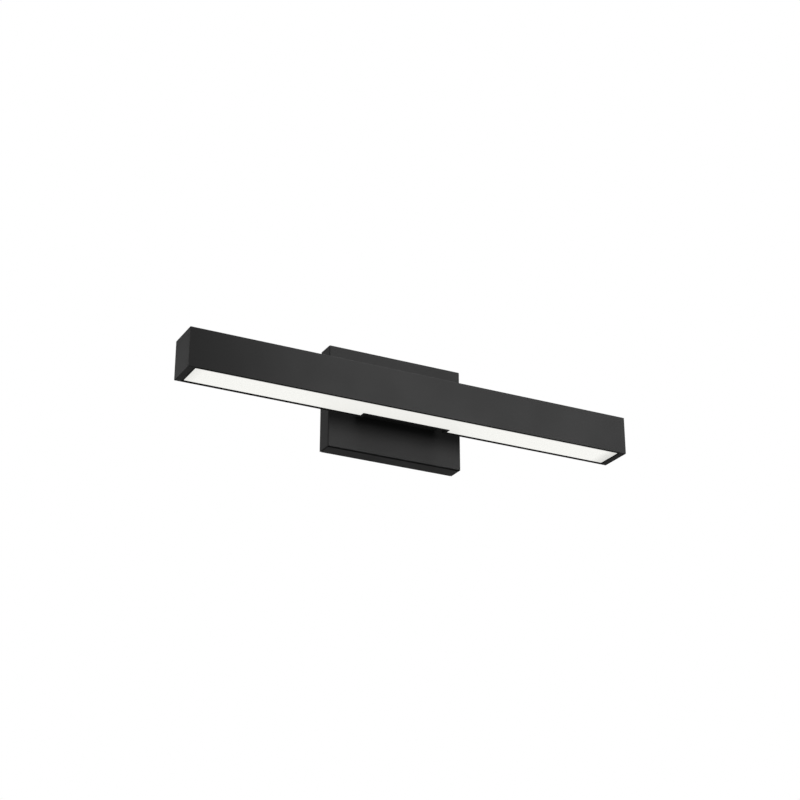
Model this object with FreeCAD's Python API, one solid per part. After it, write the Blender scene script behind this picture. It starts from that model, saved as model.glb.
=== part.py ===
import FreeCAD, Part
import math
import os

# Wall-mounted vanity light bar: a long square-section bar with an opal diffuser in its underside,
# carried in front of a shallow rectangular canopy by one wide, short arm.
#
# Frame: millimetres. The origin is the centre of the wall bracket, on the wall plane.
# +X runs along the bar, +Y goes into the wall, +Z is up.

V = FreeCAD.Vector

# ---- Driving dimensions: bar -----------------------------------------------------------------
bar_length = 610.0            # overall, end face to end face
bar_depth = 48.0              # front face to rear face
bar_height = 51.0             # underside to top
bar_drop = 5.5                # centre of the bar below the centre of the canopy
housing_wall = 2.0            # front, rear and top walls of the extrusion
rim_width = 4.7               # rim beside the diffuser, front and rear
lip_height = 3.0              # thickness of the inward lip that makes the rim
groove_width = 3.8            # shadow groove along each rim, open to the diffuser
groove_depth = 2.2
outer_edge_radius = 0.5       # broken edge along the extrusion
ledge_drop = 10.0             # top of the bar down to the underside of the tray ledges
ledge_width = 5.5             # ledge sticking in from the wall
ledge_thickness = 2.0
end_cap_thickness = 8.5       # solid plug in each end, flush with the end of the extrusion
end_cap_screw_margin = 12.0   # plug screws from the plug's top and bottom

# ---- Driving dimensions: diffuser ------------------------------------------------------------
diffuser_thickness = 2.0
diffuser_recess = 0.3         # diffuser face above the rim
diffuser_end_gap = 2.0        # gap between the diffuser and each end cap
leg_thickness = 1.2           # snap leg
leg_height = 3.6              # snap leg above the lip
hook_reach = 1.3              # snap hook over the lip
hook_flat = 0.8               # height of the hook's upright face

# ---- Driving dimensions: arm and its frame ---------------------------------------------------
arm_gap = 19.0                # clear gap between the bar and the canopy
notch_width = 122.0           # arm frame in the rear of the bar
notch_depth = 13.3            # arm frame, from the rear face of the bar forwards
frame_wall = 4.0              # front and side walls of the frame
frame_roof = 2.5
arm_rise = 10.0               # underside of the arm above the underside of the bar
arm_wall = 2.5
arm_edge_radius = 1.2
port_inset = 6.0              # screw port from the arm's outer faces
port_radius = 4.2             # outside of a screw port
wing_length = 18.0            # fixing wing each side of the frame
wing_thickness = 3.0
wing_low_margin = 8.0         # wing's lower edge above the lip
wing_screw_margin = 6.0       # wing screws from the wing's lower and upper edges

# ---- Driving dimensions: LED module ----------------------------------------------------------
tray_thickness = 2.0
tray_end_gap = 2.5            # tray to end cap
tray_clearance = 2.2          # tray to the roof of the arm frame
tray_screw_count = 4          # along each ledge
tray_screw_inset = 3.0        # tray screws from the front and rear walls
board_thickness = 1.6
board_width = 18.0
board_end_gap = 6.5           # board to end cap
board_split = 4.0             # gap between the two boards
board_screw_count = 3         # on each board
board_screw_offset = 6.0      # board screws from the LED row, towards the front
chip_pitch = 8.0
chip_length = 3.5
chip_width = 2.8
chip_height = 0.7
chip_margin = 10.0            # first LED from the board's inner end
link_length = 14.0            # bridge between the two boards
link_width = 4.0
link_height = 2.2
link_offset = 5.5             # bridge from the LED row, towards the front
socket_length = 8.0           # lead socket on the right-hand board
socket_width = 5.2
socket_height = 4.0
socket_inset = 1.5            # socket from the board's inner end
socket_offset = 5.2           # socket from the LED row, towards the rear
plug_length = 6.0             # lead plug pushed into the socket

# ---- Driving dimensions: canopy --------------------------------------------------------------
canopy_width = 188.0
canopy_height = 137.0
canopy_depth = 25.0
cover_sheet = 1.2             # decorative cover: front panel and two side returns
cover_bend_radius = 1.8       # outside radius of its two bends
chassis_sheet = 2.0           # steel channel under it: web, top flange, bottom flange
chassis_bend_radius = 0.6     # radius of its bends
reveal_width = 3.6            # shadow gap between the cover's edge and each flange
reveal_depth = 4.0
hem_height = 6.5              # upturned hem at the wall end of the bottom flange

# ---- Driving dimensions: wall bracket --------------------------------------------------------
bracket_sheet = 2.0
slot_spacing = 88.9           # junction-box screws, centre to centre
slot_length = 12.0            # end to end
slot_radius = 2.4
bracket_margin = 7.5          # metal outside the end of each slot
ear_depth = 14.0              # top ear, forward of the bracket plate
ear_half_width = 36.0
neck_height = 15.0            # narrow neck of the plate under the ear
canopy_screw_spacing = 50.0
wire_hole_radius = 11.0       # supply wires, through the middle of the bracket
hook_clearance = 4.0          # room above the hem for lifting the canopy on
hook_rise = 1.0               # bracket hook above the bottom flange
ground_x = -34.0              # ground screw on the bracket
ground_z = -30.0

# ---- Driving dimensions: electrics in the canopy ---------------------------------------------
driver_top_gap = 12.5         # driver to the top flange
driver_hole_gap = 3.0         # driver to the wire hole
driver_clearance = 2.8        # driver to the wall bracket
driver_ear = 8.0
driver_ear_thickness = 1.5
driver_edge_radius = 2.0
block_side_gap = 5.0          # terminal block to the side of the canopy
block_width = 22.0
block_depth = 12.0
block_top_step = 10.0         # top of the block below the top of the driver
block_poles = 3
block_port_radius = 1.7
block_port_depth = 8.0
block_screw_margin = 4.0
jumper_gap = 20.0             # terminal block to driver
jumper_spread = 8.0           # mains leads, centre to centre at the block
jumper_step = 4.0             # how far they come down on the way to the driver
lead_side_gap = 22.8          # falling run of the output leads to the side of the canopy
lead_bend_gap = 16.0          # driver to that run
lead_radius = 0.8
lead_pitch = 2.4
lead_bend_radius = 5.0
lead_level = 9.5              # leads behind the chassis web
lead_entry = 2.0              # length of lead held in each connector or case
cable_x = 30.0                # where the leads pass through the arm
cable_hole_radius = 6.0
grommet_bore_radius = 3.2
grommet_flange_radius = 8.0
grommet_flange_thickness = 1.0
lug_radius = 4.0
lug_thickness = 0.8
lug_barrel_radius = 1.6
lug_barrel_length = 5.0

# ---- Clearances ------------------------------------------------------------------------------
plug_fit = 0.1                # end cap in the extrusion, grommets in their holes
slide_fit = 0.2               # diffuser between the lips, tray between the walls
frame_fit = 0.3               # arm in its frame, frame in the cut-out
screw_fit = 0.25              # screw in a clearance hole
cover_fit = 0.6               # chassis between the cover's returns
drill_overrun = 1.0           # cutting tools run past the faces they cut

# ---- Screws: shank radius, head radius, head height, then the lengths that no wall sets -------
M25 = (1.25, 2.2, 1.2)
M3 = (1.5, 2.8, 2.0)
M4 = (2.0, 3.6, 2.5)
cap_screw_length = 10.0       # countersunk screws into the end caps, head included
arm_screw_bite = 10.0         # depth of an arm screw in its port
wing_screw_overhang = 1.0     # frame screws stick out of the wings
recess_share = 0.45           # hexagon recess across its corners, as a share of the head radius
recess_depth_share = 0.6      # its depth, as a share of the head height

# ---- Positions worked out from the sizes -----------------------------------------------------
canopy_front = -canopy_depth
web_front = canopy_front + cover_sheet
web_rear = web_front + chassis_sheet
bar_rear = canopy_front - arm_gap
bar_front = bar_rear - bar_depth
bar_bottom = -bar_drop - bar_height / 2
bar_top = bar_bottom + bar_height
bar_half = bar_length / 2
cap_inner = bar_half - end_cap_thickness

inner_front = bar_front + housing_wall
inner_rear = bar_rear - housing_wall
lip_front = bar_front + rim_width
lip_rear = bar_rear - rim_width
lip_top = bar_bottom + lip_height
groove_front = lip_front - groove_width
groove_top = bar_bottom + groove_depth
ledge_bottom = bar_top - ledge_drop
ledge_top = ledge_bottom + ledge_thickness
tray_bottom = ledge_bottom - tray_thickness
board_bottom = tray_bottom - board_thickness

notch_half = notch_width / 2
frame_front = bar_rear - notch_depth
frame_top = tray_bottom - tray_clearance
pocket_front = frame_front + frame_wall
pocket_half = notch_half - frame_wall
pocket_top = frame_top - frame_roof
arm_half = pocket_half - frame_fit
arm_bottom = bar_bottom + arm_rise
arm_top = pocket_top - frame_fit
cable_z = (arm_bottom + arm_top) / 2
ports = [(x, z) for x in (-arm_half + port_inset, arm_half - port_inset)
         for z in (arm_bottom + port_inset, arm_top - port_inset)]

wing_bottom = lip_top + wing_low_margin
wing_middle = notch_half + wing_length / 2
wing_screws = [(x, z) for x in (-wing_middle, wing_middle)
               for z in (wing_bottom + wing_screw_margin, frame_top - wing_screw_margin)]
cap_screw_x = bar_half - end_cap_thickness / 2
cap_screws = [(x, z) for x in (-cap_screw_x, cap_screw_x)
              for z in (lip_top + end_cap_screw_margin, bar_top - end_cap_screw_margin)]

led_row = (inner_front + frame_front) / 2
board_inner = board_split / 2
board_outer = cap_inner - board_end_gap
board_length = board_outer - board_inner
chip_count = int((board_length - chip_margin - chip_length) / chip_pitch) + 1
tray_half = cap_inner - tray_end_gap
tray_screw_y = (inner_front + tray_screw_inset, inner_rear - tray_screw_inset)
tray_screw_step = 2 * tray_half / tray_screw_count
tray_screws = [(-tray_half + (i + 0.5) * tray_screw_step, y)
               for i in range(tray_screw_count) for y in tray_screw_y]
board_screw_y = led_row - board_screw_offset
board_screw_step = board_length / board_screw_count
board_screw_x = [board_inner + (i + 0.5) * board_screw_step for i in range(board_screw_count)]

socket_x = board_inner + socket_inset
plug_x = socket_x + socket_length
plug_end = plug_x + plug_length
plug_y = led_row + socket_offset
plug_z = board_bottom - socket_height / 2
plug_lead_y = [plug_y - side * lead_pitch / 2 for side in (-1, 1)]

canopy_top = canopy_height / 2
chamber_top = canopy_top - chassis_sheet
chamber_half = canopy_width / 2 - cover_sheet
bracket_half = slot_spacing / 2 + slot_length / 2 + bracket_margin
hook_top = -chamber_top + hem_height + hook_clearance
canopy_screw_x = (-canopy_screw_spacing / 2, canopy_screw_spacing / 2)
canopy_screw_y = -bracket_sheet - ear_depth / 2
barrel_y = -bracket_sheet - lug_barrel_radius
barrel_end = ground_x - lug_radius - lug_barrel_length

driver_top = chamber_top - driver_top_gap
driver_bottom = wire_hole_radius + driver_hole_gap
driver_rear = -bracket_sheet - driver_clearance
block_left = -chamber_half + block_side_gap
block_right = block_left + block_width
block_bottom = driver_bottom
block_top = driver_top - block_top_step
block_rear = web_rear + block_depth
block_middle = (block_left + block_right) / 2
ground_drop_x = block_middle - block_width / 4
block_screws = (block_bottom + block_screw_margin, block_top - block_screw_margin)
driver_left = block_right + jumper_gap
fall_x = chamber_half - lead_side_gap
driver_right = fall_x - lead_bend_gap
driver_middle = (driver_bottom + driver_top) / 2
driver_ear_x = (driver_left - driver_ear / 2, driver_right + driver_ear / 2)
lead_y = web_rear + lead_level
mains_z = [driver_middle + side * jumper_spread / 2 for side in (-1, 1)]


# ---- Shared shape helpers --------------------------------------------------------------------
def box(x0, x1, y0, y1, z0, z1):
    """Box between two corners."""
    return Part.makeBox(x1 - x0, y1 - y0, z1 - z0, V(x0, y0, z0))


def rod(x, y, z, radius, length, direction):
    """Cylinder from a point along a direction."""
    return Part.makeCylinder(radius, length, V(x, y, z), V(*direction))


def prism_along_x(outline, x0, x1):
    """Solid with a constant (y, z) outline between two X positions."""
    corners = [V(x0, y, z) for y, z in outline]
    wire = Part.makePolygon(corners + corners[:1])
    return Part.Face(wire).extrude(V(x1 - x0, 0, 0))


def round_edges(solid, radius, direction, chosen):
    """Fillet the straight edges that run along a direction and whose middle point is chosen."""
    edges = []
    for edge in solid.Edges:
        run = edge.valueAt(edge.LastParameter) - edge.valueAt(edge.FirstParameter)
        across = run.cross(direction).Length
        if across < 1e-6 and chosen(edge.CenterOfMass):
            edges.append(edge)
    return solid.makeFillet(radius, edges)


def everywhere(middle):
    """Choose every edge."""
    return True


def at_canopy_front(middle):
    """Choose the edges at the front of the canopy."""
    return middle.y < canopy_front / 2


def cut_all(solid, tools):
    """Cut a list of tools from a solid."""
    for tool in tools:
        solid = solid.cut(tool)
    return solid.removeSplitter()


def join(solids):
    """Fuse a list of solids into one."""
    joined = solids[0]
    for solid in solids[1:]:
        joined = joined.fuse(solid)
    return joined.removeSplitter()


def screw(size, seat, direction, shank_length):
    """Pan-head screw: the head stands on its seat, the shank runs along the direction."""
    shank_radius, head_radius, head_height = size
    away = V(*direction) * -1
    head = Part.makeCylinder(head_radius, head_height, V(*seat), away)
    shank = Part.makeCylinder(shank_radius, shank_length, V(*seat), V(*direction))
    recess_depth = head_height * recess_depth_share
    recess = hexagon_prism(V(*seat) + away * (head_height - recess_depth), away,
                           head_radius * recess_share, recess_depth + drill_overrun)
    return head.fuse(shank).removeSplitter().cut(recess)


def hexagon_prism(centre, axis, corner_radius, length):
    """Hexagonal prism that starts at a centre and runs along an axis."""
    side = axis.cross(V(1, 0, 0))
    if side.Length < 0.5:
        side = axis.cross(V(0, 1, 0))
    side.normalize()
    other = axis.cross(side)
    corners = []
    for i in range(6):
        turn = math.radians(60 * i)
        spoke = side * math.cos(turn) + other * math.sin(turn)
        corners.append(centre + spoke * corner_radius)
    return Part.Face(Part.makePolygon(corners + corners[:1])).extrude(axis * length)


def flat_screw(size, x, y, z, shank_length):
    """Countersunk screw driven towards -Y, its head flush with the plane at y."""
    shank_radius, head_radius, head_height = size
    cone_height = head_radius - shank_radius
    head = Part.makeCone(head_radius, shank_radius, cone_height, V(x, y, z), V(0, -1, 0))
    shank = rod(x, y - cone_height, z, shank_radius, shank_length - cone_height, (0, -1, 0))
    recess = hexagon_prism(V(x, y + drill_overrun, z), V(0, -1, 0), head_radius * recess_share,
                           drill_overrun + cone_height * recess_depth_share)
    return head.fuse(shank).removeSplitter().cut(recess)


def lead_bore(x, y, z, direction):
    """Tool for the bore that holds the end of a lead, from a face inwards."""
    return rod(x, y, z, lead_radius, lead_entry, direction)


def lead(points, radius, bend):
    """Round lead along straight runs joined by tangent arcs of one bend radius."""
    edges = []
    start = V(*points[0])
    for before, corner, after in zip(points, points[1:], points[2:]):
        corner = V(*corner)
        way_in = (corner - V(*before)).normalize()
        way_out = (V(*after) - corner).normalize()
        turn = way_in.getAngle(way_out)
        reach = bend * math.tan(turn / 2)
        arc_start = corner - way_in * reach
        arc_end = corner + way_out * reach
        inward = (way_out - way_in).normalize()
        arc_middle = corner + inward * (bend / math.cos(turn / 2) - bend)
        edges.append(Part.LineSegment(start, arc_start).toShape())
        edges.append(Part.Arc(arc_start, arc_middle, arc_end).toShape())
        start = arc_end
    edges.append(Part.LineSegment(start, V(*points[-1])).toShape())
    path = Part.Wire(edges)
    first = (V(*points[1]) - V(*points[0])).normalize()
    section = Part.Wire(Part.Circle(V(*points[0]), first, radius).toShape())
    return path.makePipeShell([section], True, False)


# ---- Bar -------------------------------------------------------------------------------------
def cavity_outline(gap, floor):
    """Outline (y, z) of the inside of the extrusion, shrunk by a gap, down to a floor level."""
    front = [(groove_front + gap, floor), (groove_front + gap, groove_top - gap),
             (lip_front + gap, groove_top - gap), (lip_front + gap, lip_top + gap),
             (inner_front + gap, lip_top + gap), (inner_front + gap, ledge_bottom - gap),
             (inner_front + ledge_width + gap, ledge_bottom - gap),
             (inner_front + ledge_width + gap, ledge_top + gap),
             (inner_front + gap, ledge_top + gap), (inner_front + gap, bar_top - housing_wall - gap)]
    middle = bar_front + bar_rear
    rear = [(middle - y, z) for y, z in reversed(front)]
    return front + rear


def bar_housing():
    """Extruded channel, open below, with the cut-out for the arm frame in its rear wall."""
    outside = round_edges(box(-bar_half, bar_half, bar_front, bar_rear, bar_bottom, bar_top),
                          outer_edge_radius, V(1, 0, 0), everywhere)
    tools = [prism_along_x(cavity_outline(0.0, bar_bottom - drill_overrun),
                           -bar_half - drill_overrun, bar_half + drill_overrun),
             box(-notch_half - frame_fit, notch_half + frame_fit,
                 lip_rear - drill_overrun, bar_rear + drill_overrun,
                 bar_bottom - drill_overrun, frame_top + frame_fit)]
    for x, z in wing_screws:
        tools.append(rod(x, bar_rear + drill_overrun, z, M4[0] + screw_fit,
                         housing_wall + 2 * drill_overrun, (0, -1, 0)))
    for x, z in cap_screws:
        tools.append(rod(x, bar_rear + drill_overrun, z, M3[0] + screw_fit,
                         housing_wall + 2 * drill_overrun, (0, -1, 0)))
        tools.append(Part.makeCone(M3[1], M3[0], M3[1] - M3[0], V(x, bar_rear, z), V(0, -1, 0)))
    for x, y in tray_screws:
        tools.append(rod(x, y, ledge_bottom - drill_overrun, M3[0],
                         ledge_thickness + 2 * drill_overrun, (0, 0, 1)))
    return cut_all(outside, tools)


def end_cap(side):
    """Solid plug that closes one end of the extrusion; side is -1 (left) or 1 (right)."""
    inner, outer = sorted((side * cap_inner, side * bar_half))
    plug = prism_along_x(cavity_outline(plug_fit, bar_bottom), inner, outer)
    holes = [rod(x, inner_rear, z, M3[0], cap_screw_length - housing_wall, (0, -1, 0))
             for x, z in cap_screws if x * side > 0]
    return cut_all(plug, holes)


def end_cap_screws():
    """Countersunk screws through the rear wall into the two end caps."""
    return Part.makeCompound([flat_screw(M3, x, bar_rear, z, cap_screw_length) for x, z in cap_screws])


def diffuser():
    """Opal cover: flat face, notched round the arm frame, with snap legs that hook over the lips."""
    half = cap_inner - diffuser_end_gap
    front = lip_front + slide_fit
    rear = lip_rear - slide_fit
    face_bottom = bar_bottom + diffuser_recess
    face_top = face_bottom + diffuser_thickness
    plate = box(-half, half, front, rear, face_bottom, face_top)
    notch = box(-notch_half - slide_fit, notch_half + slide_fit,
                frame_front - slide_fit, rear + drill_overrun,
                face_bottom - drill_overrun, face_top + drill_overrun)
    root = face_top - diffuser_thickness / 2
    leg = [(front, root), (front + leg_thickness, root),
           (front + leg_thickness, lip_top + leg_height), (front, lip_top + leg_height),
           (front - hook_reach, lip_top + hook_flat), (front - hook_reach, lip_top), (front, lip_top)]
    middle = bar_front + bar_rear
    mirrored = [(middle - y, z) for y, z in leg]
    rear_start = notch_half + slide_fit
    return join([plate.cut(notch), prism_along_x(leg, -half, half),
                 prism_along_x(mirrored, -half, -rear_start),
                 prism_along_x(mirrored, rear_start, half)])


# ---- LED module ------------------------------------------------------------------------------
def led_tray():
    """Flat aluminium tray under the two ledges; it carries the boards and spreads their heat."""
    plate = box(-tray_half, tray_half, inner_front + slide_fit, inner_rear - slide_fit,
                tray_bottom, ledge_bottom)
    holes = [rod(x, y, tray_bottom - drill_overrun, M3[0] + screw_fit,
                 tray_thickness + 2 * drill_overrun, (0, 0, 1)) for x, y in tray_screws]
    for x in board_screw_x:
        for side in (-1, 1):
            holes.append(rod(side * x, board_screw_y, tray_bottom - drill_overrun, M25[0],
                             tray_thickness + 2 * drill_overrun, (0, 0, 1)))
    return cut_all(plate, holes)


def tray_screw_set():
    """Screws up through the tray into the ledges."""
    return Part.makeCompound([screw(M3, (x, y, tray_bottom), (0, 0, 1), tray_thickness + ledge_thickness)
                              for x, y in tray_screws])


def led_board(side):
    """One of the two circuit boards; side is -1 (left) or 1 (right)."""
    x0, x1 = sorted((side * board_inner, side * board_outer))
    board = box(x0, x1, led_row - board_width / 2, led_row + board_width / 2, board_bottom, tray_bottom)
    holes = [rod(side * x, board_screw_y, board_bottom - drill_overrun, M25[0] + screw_fit,
                 board_thickness + 2 * drill_overrun, (0, 0, 1)) for x in board_screw_x]
    return cut_all(board, holes)


def led_chips(side):
    """The row of LED packages on one board."""
    chips = []
    for i in range(chip_count):
        x = side * (board_inner + chip_margin + i * chip_pitch)
        chips.append(box(x - chip_length / 2, x + chip_length / 2,
                         led_row - chip_width / 2, led_row + chip_width / 2,
                         board_bottom - chip_height, board_bottom))
    return Part.makeCompound(chips)


def board_screw_set():
    """Screws that hold the boards to the tray."""
    return Part.makeCompound([screw(M25, (side * x, board_screw_y, board_bottom), (0, 0, 1),
                                    board_thickness + tray_thickness)
                              for side in (-1, 1) for x in board_screw_x])


def board_link():
    """Plug bridge that joins the two boards in the middle."""
    return box(-link_length / 2, link_length / 2,
               led_row - link_offset - link_width / 2, led_row - link_offset + link_width / 2,
               board_bottom - link_height, board_bottom)


def board_socket():
    """Lead socket on the right-hand board."""
    return box(socket_x, plug_x, plug_y - socket_width / 2, plug_y + socket_width / 2,
               board_bottom - socket_height, board_bottom)


def board_plug():
    """Plug on the output leads, butted to the socket, with one bore for each lead."""
    body = box(plug_x, plug_end, plug_y - socket_width / 2, plug_y + socket_width / 2,
               board_bottom - socket_height, board_bottom)
    return cut_all(body, [lead_bore(plug_end, y, plug_z, (-1, 0, 0)) for y in plug_lead_y])


# ---- Arm -------------------------------------------------------------------------------------
def arm_frame():
    """Cast frame in the rear of the bar: a pocket for the arm, closed to the light chamber,
    with a fixing wing behind the rear wall on each side."""
    block = box(-notch_half, notch_half, frame_front, bar_rear, bar_bottom, frame_top)
    wings = box(-notch_half - wing_length, notch_half + wing_length,
                inner_rear - wing_thickness, inner_rear, wing_bottom, frame_top)
    pocket = box(-pocket_half, pocket_half, pocket_front, bar_rear + drill_overrun,
                 bar_bottom - drill_overrun, pocket_top)
    tools = [pocket, rod(cable_x, frame_front - drill_overrun, cable_z, cable_hole_radius,
                         frame_wall + 2 * drill_overrun, (0, 1, 0))]
    for x, z in ports:
        tools.append(rod(x, frame_front - drill_overrun, z, M4[0] + screw_fit,
                         frame_wall + 2 * drill_overrun, (0, 1, 0)))
    for x, z in wing_screws:
        tools.append(rod(x, inner_rear, z, M4[0], wing_thickness + drill_overrun, (0, -1, 0)))
    return cut_all(block.fuse(wings), tools)


def arm_frame_screws():
    """Screws from behind, through the rear wall of the bar into the wings of the frame."""
    return Part.makeCompound([screw(M4, (x, bar_rear, z), (0, -1, 0),
                                    housing_wall + wing_thickness + wing_screw_overhang)
                              for x, z in wing_screws])


def arm():
    """Short extruded tube with four screw ports, between the frame and the canopy."""
    outside = round_edges(box(-arm_half, arm_half, pocket_front, canopy_front, arm_bottom, arm_top),
                          arm_edge_radius, V(0, 1, 0), everywhere)
    hollow = box(-arm_half + arm_wall, arm_half - arm_wall,
                 pocket_front - drill_overrun, canopy_front + drill_overrun,
                 arm_bottom + arm_wall, arm_top - arm_wall)
    tube = outside.cut(hollow)
    length = canopy_front - pocket_front
    for x, z in ports:
        tube = tube.fuse(rod(x, pocket_front, z, port_radius, length, (0, 1, 0)))
    holes = [rod(x, pocket_front - drill_overrun, z, M4[0], length + 2 * drill_overrun, (0, 1, 0))
             for x, z in ports]
    return cut_all(tube, holes)


def arm_front_screws():
    """Screws through the front wall of the frame into the arm's ports."""
    return Part.makeCompound([screw(M4, (x, frame_front, z), (0, 1, 0), frame_wall + arm_screw_bite)
                              for x, z in ports])


def arm_rear_screws():
    """Screws from inside the canopy, through chassis and cover, into the arm's ports."""
    return Part.makeCompound([screw(M4, (x, web_rear, z), (0, -1, 0),
                                    chassis_sheet + cover_sheet + arm_screw_bite)
                              for x, z in ports])


def grommet(y0, y1):
    """Rubber grommet round the leads, in a wall between two Y positions."""
    body = rod(cable_x, y0 - grommet_flange_thickness, cable_z, cable_hole_radius - plug_fit,
               y1 - y0 + 2 * grommet_flange_thickness, (0, 1, 0))
    flanges = [rod(cable_x, y0 - grommet_flange_thickness, cable_z, grommet_flange_radius,
                   grommet_flange_thickness, (0, 1, 0)),
               rod(cable_x, y1, cable_z, grommet_flange_radius, grommet_flange_thickness, (0, 1, 0))]
    bore = rod(cable_x, y0 - 2 * grommet_flange_thickness, cable_z, grommet_bore_radius,
               y1 - y0 + 4 * grommet_flange_thickness, (0, 1, 0))
    return join([body] + flanges).cut(bore)


# ---- Canopy ----------------------------------------------------------------------------------
def through_canopy_front():
    """Tools for the holes that the cover's panel and the chassis's web share."""
    reach = cover_sheet + chassis_sheet + 2 * drill_overrun
    tools = [rod(cable_x, canopy_front - drill_overrun, cable_z, cable_hole_radius, reach, (0, 1, 0))]
    for x, z in ports:
        tools.append(rod(x, canopy_front - drill_overrun, z, M4[0] + screw_fit, reach, (0, 1, 0)))
    return tools


def canopy_cover():
    """Folded sheet: the flat front panel and the two side returns that reach the wall."""
    half = canopy_width / 2
    outside = round_edges(box(-half, half, canopy_front, 0, -canopy_top, canopy_top),
                          cover_bend_radius, V(0, 0, 1), at_canopy_front)
    inside = round_edges(box(-chamber_half, chamber_half, web_front, drill_overrun,
                             -canopy_top - drill_overrun, canopy_top + drill_overrun),
                         cover_bend_radius - cover_sheet, V(0, 0, 1), at_canopy_front)
    return cut_all(outside, [inside] + through_canopy_front())


def set_back(half, front, rear, top):
    """Block whose two front corners are set back by the shadow gap, with rounded bends."""
    corners = [box(-half - drill_overrun, half + drill_overrun,
                   front - drill_overrun, front + reveal_width, low, low + reveal_depth + drill_overrun)
               for low in (-top - drill_overrun, top - reveal_depth)]
    return round_edges(cut_all(box(-half, half, front, rear, -top, top), corners),
                       chassis_bend_radius, V(1, 0, 0), at_canopy_front)


def canopy_chassis():
    """Steel channel under the cover: web, shadow gap, top and bottom flanges, and a hem that
    hooks on the bracket."""
    half = chamber_half - cover_fit
    outside = set_back(half, web_front, 0, canopy_top)
    inside = set_back(half + drill_overrun, web_rear, drill_overrun, chamber_top)
    hem = box(-bracket_half, bracket_half, -chassis_sheet, 0, -canopy_top, -chamber_top + hem_height)
    tools = through_canopy_front()
    for x in driver_ear_x:
        tools.append(rod(x, web_front - drill_overrun, driver_middle, M3[0],
                         chassis_sheet + 2 * drill_overrun, (0, 1, 0)))
    for z in block_screws:
        tools.append(rod(block_middle, web_front - drill_overrun, z, M3[0],
                         chassis_sheet + 2 * drill_overrun, (0, 1, 0)))
    for x in canopy_screw_x:
        tools.append(rod(x, canopy_screw_y, chamber_top - drill_overrun, M4[0] + screw_fit,
                         chassis_sheet + 2 * drill_overrun, (0, 0, 1)))
    return cut_all(outside.cut(inside).fuse(hem), tools)


def canopy_screws():
    """Screws down through the top flange into the ear of the bracket."""
    return Part.makeCompound([screw(M4, (x, canopy_screw_y, canopy_top), (0, 0, -1),
                                    chassis_sheet + bracket_sheet) for x in canopy_screw_x])


# ---- Wall bracket ----------------------------------------------------------------------------
def slot(x):
    """Tool for one junction-box slot, long along X."""
    straight = slot_length / 2 - slot_radius
    depth = bracket_sheet + 2 * drill_overrun
    start = -bracket_sheet - drill_overrun
    ends = [rod(x + shift, start, 0, slot_radius, depth, (0, 1, 0)) for shift in (-straight, straight)]
    middle = box(x - straight, x + straight, start, start + depth, -slot_radius, slot_radius)
    return join([middle] + ends)


def wall_bracket():
    """Steel plate on the junction box, with a top ear and a hook for the hem of the chassis."""
    plate = box(-bracket_half, bracket_half, -bracket_sheet, 0, hook_top, chamber_top - neck_height)
    neck = box(-ear_half_width, ear_half_width, -bracket_sheet, 0, hook_top, chamber_top)
    ear = box(-ear_half_width, ear_half_width, -bracket_sheet - ear_depth, -bracket_sheet,
              chamber_top - bracket_sheet, chamber_top)
    shelf = box(-bracket_half, bracket_half, -bracket_sheet - chassis_sheet, 0,
                hook_top, hook_top + bracket_sheet)
    hook = box(-bracket_half, bracket_half, -bracket_sheet - chassis_sheet, -chassis_sheet,
               -chamber_top + hook_rise, hook_top + bracket_sheet)
    tools = [slot(-slot_spacing / 2), slot(slot_spacing / 2)]
    tools.append(rod(0, -bracket_sheet - drill_overrun, 0, wire_hole_radius,
                     bracket_sheet + 2 * drill_overrun, (0, 1, 0)))
    tools.append(rod(ground_x, -bracket_sheet - drill_overrun, ground_z, M4[0],
                     bracket_sheet + 2 * drill_overrun, (0, 1, 0)))
    for x in canopy_screw_x:
        tools.append(rod(x, canopy_screw_y, chamber_top - bracket_sheet - drill_overrun, M4[0],
                         bracket_sheet + 2 * drill_overrun, (0, 0, 1)))
    return cut_all(join([plate, neck, ear, shelf, hook]), tools)


def ground_screw():
    """Green ground screw, its head on the lug."""
    return screw(M4, (ground_x, -bracket_sheet - lug_thickness, ground_z), (0, 1, 0),
                 bracket_sheet + lug_thickness)


def ground_lug():
    """Ring terminal under the ground screw, with the crimped barrel of the ground lead."""
    ring = rod(ground_x, -bracket_sheet - lug_thickness, ground_z, lug_radius, lug_thickness, (0, 1, 0))
    tongue = box(ground_x - lug_radius - lug_barrel_length, ground_x, -bracket_sheet - lug_thickness,
                 -bracket_sheet, ground_z - lug_barrel_radius, ground_z + lug_barrel_radius)
    barrel = rod(barrel_end, barrel_y, ground_z, lug_barrel_radius, lug_barrel_length, (1, 0, 0))
    hole = rod(ground_x, -bracket_sheet - lug_thickness - drill_overrun, ground_z, M4[0] + screw_fit,
               lug_thickness + 2 * drill_overrun, (0, 1, 0))
    return cut_all(join([ring, tongue, barrel]),
                   [hole, lead_bore(barrel_end, barrel_y, ground_z, (1, 0, 0))])


# ---- Electrics in the canopy -----------------------------------------------------------------
def led_driver():
    """Moulded driver case with a fixing ear at each end, on the inside of the chassis web."""
    case = round_edges(box(driver_left, driver_right, web_rear, driver_rear, driver_bottom, driver_top),
                       driver_edge_radius, V(0, 1, 0), everywhere)
    ears = box(driver_left - driver_ear, driver_right + driver_ear, web_rear,
               web_rear + driver_ear_thickness, driver_middle - driver_ear, driver_middle + driver_ear)
    holes = [rod(x, web_rear - drill_overrun, driver_middle, M3[0] + screw_fit,
                 driver_ear_thickness + 2 * drill_overrun, (0, 1, 0)) for x in driver_ear_x]
    for z in mains_z:
        holes.append(lead_bore(driver_left, lead_y, z - jumper_step, (1, 0, 0)))
    for side in (-1, 1):
        holes.append(lead_bore(driver_right, lead_y, driver_middle + side * lead_pitch / 2, (-1, 0, 0)))
    return cut_all(case.fuse(ears), holes)


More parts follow.
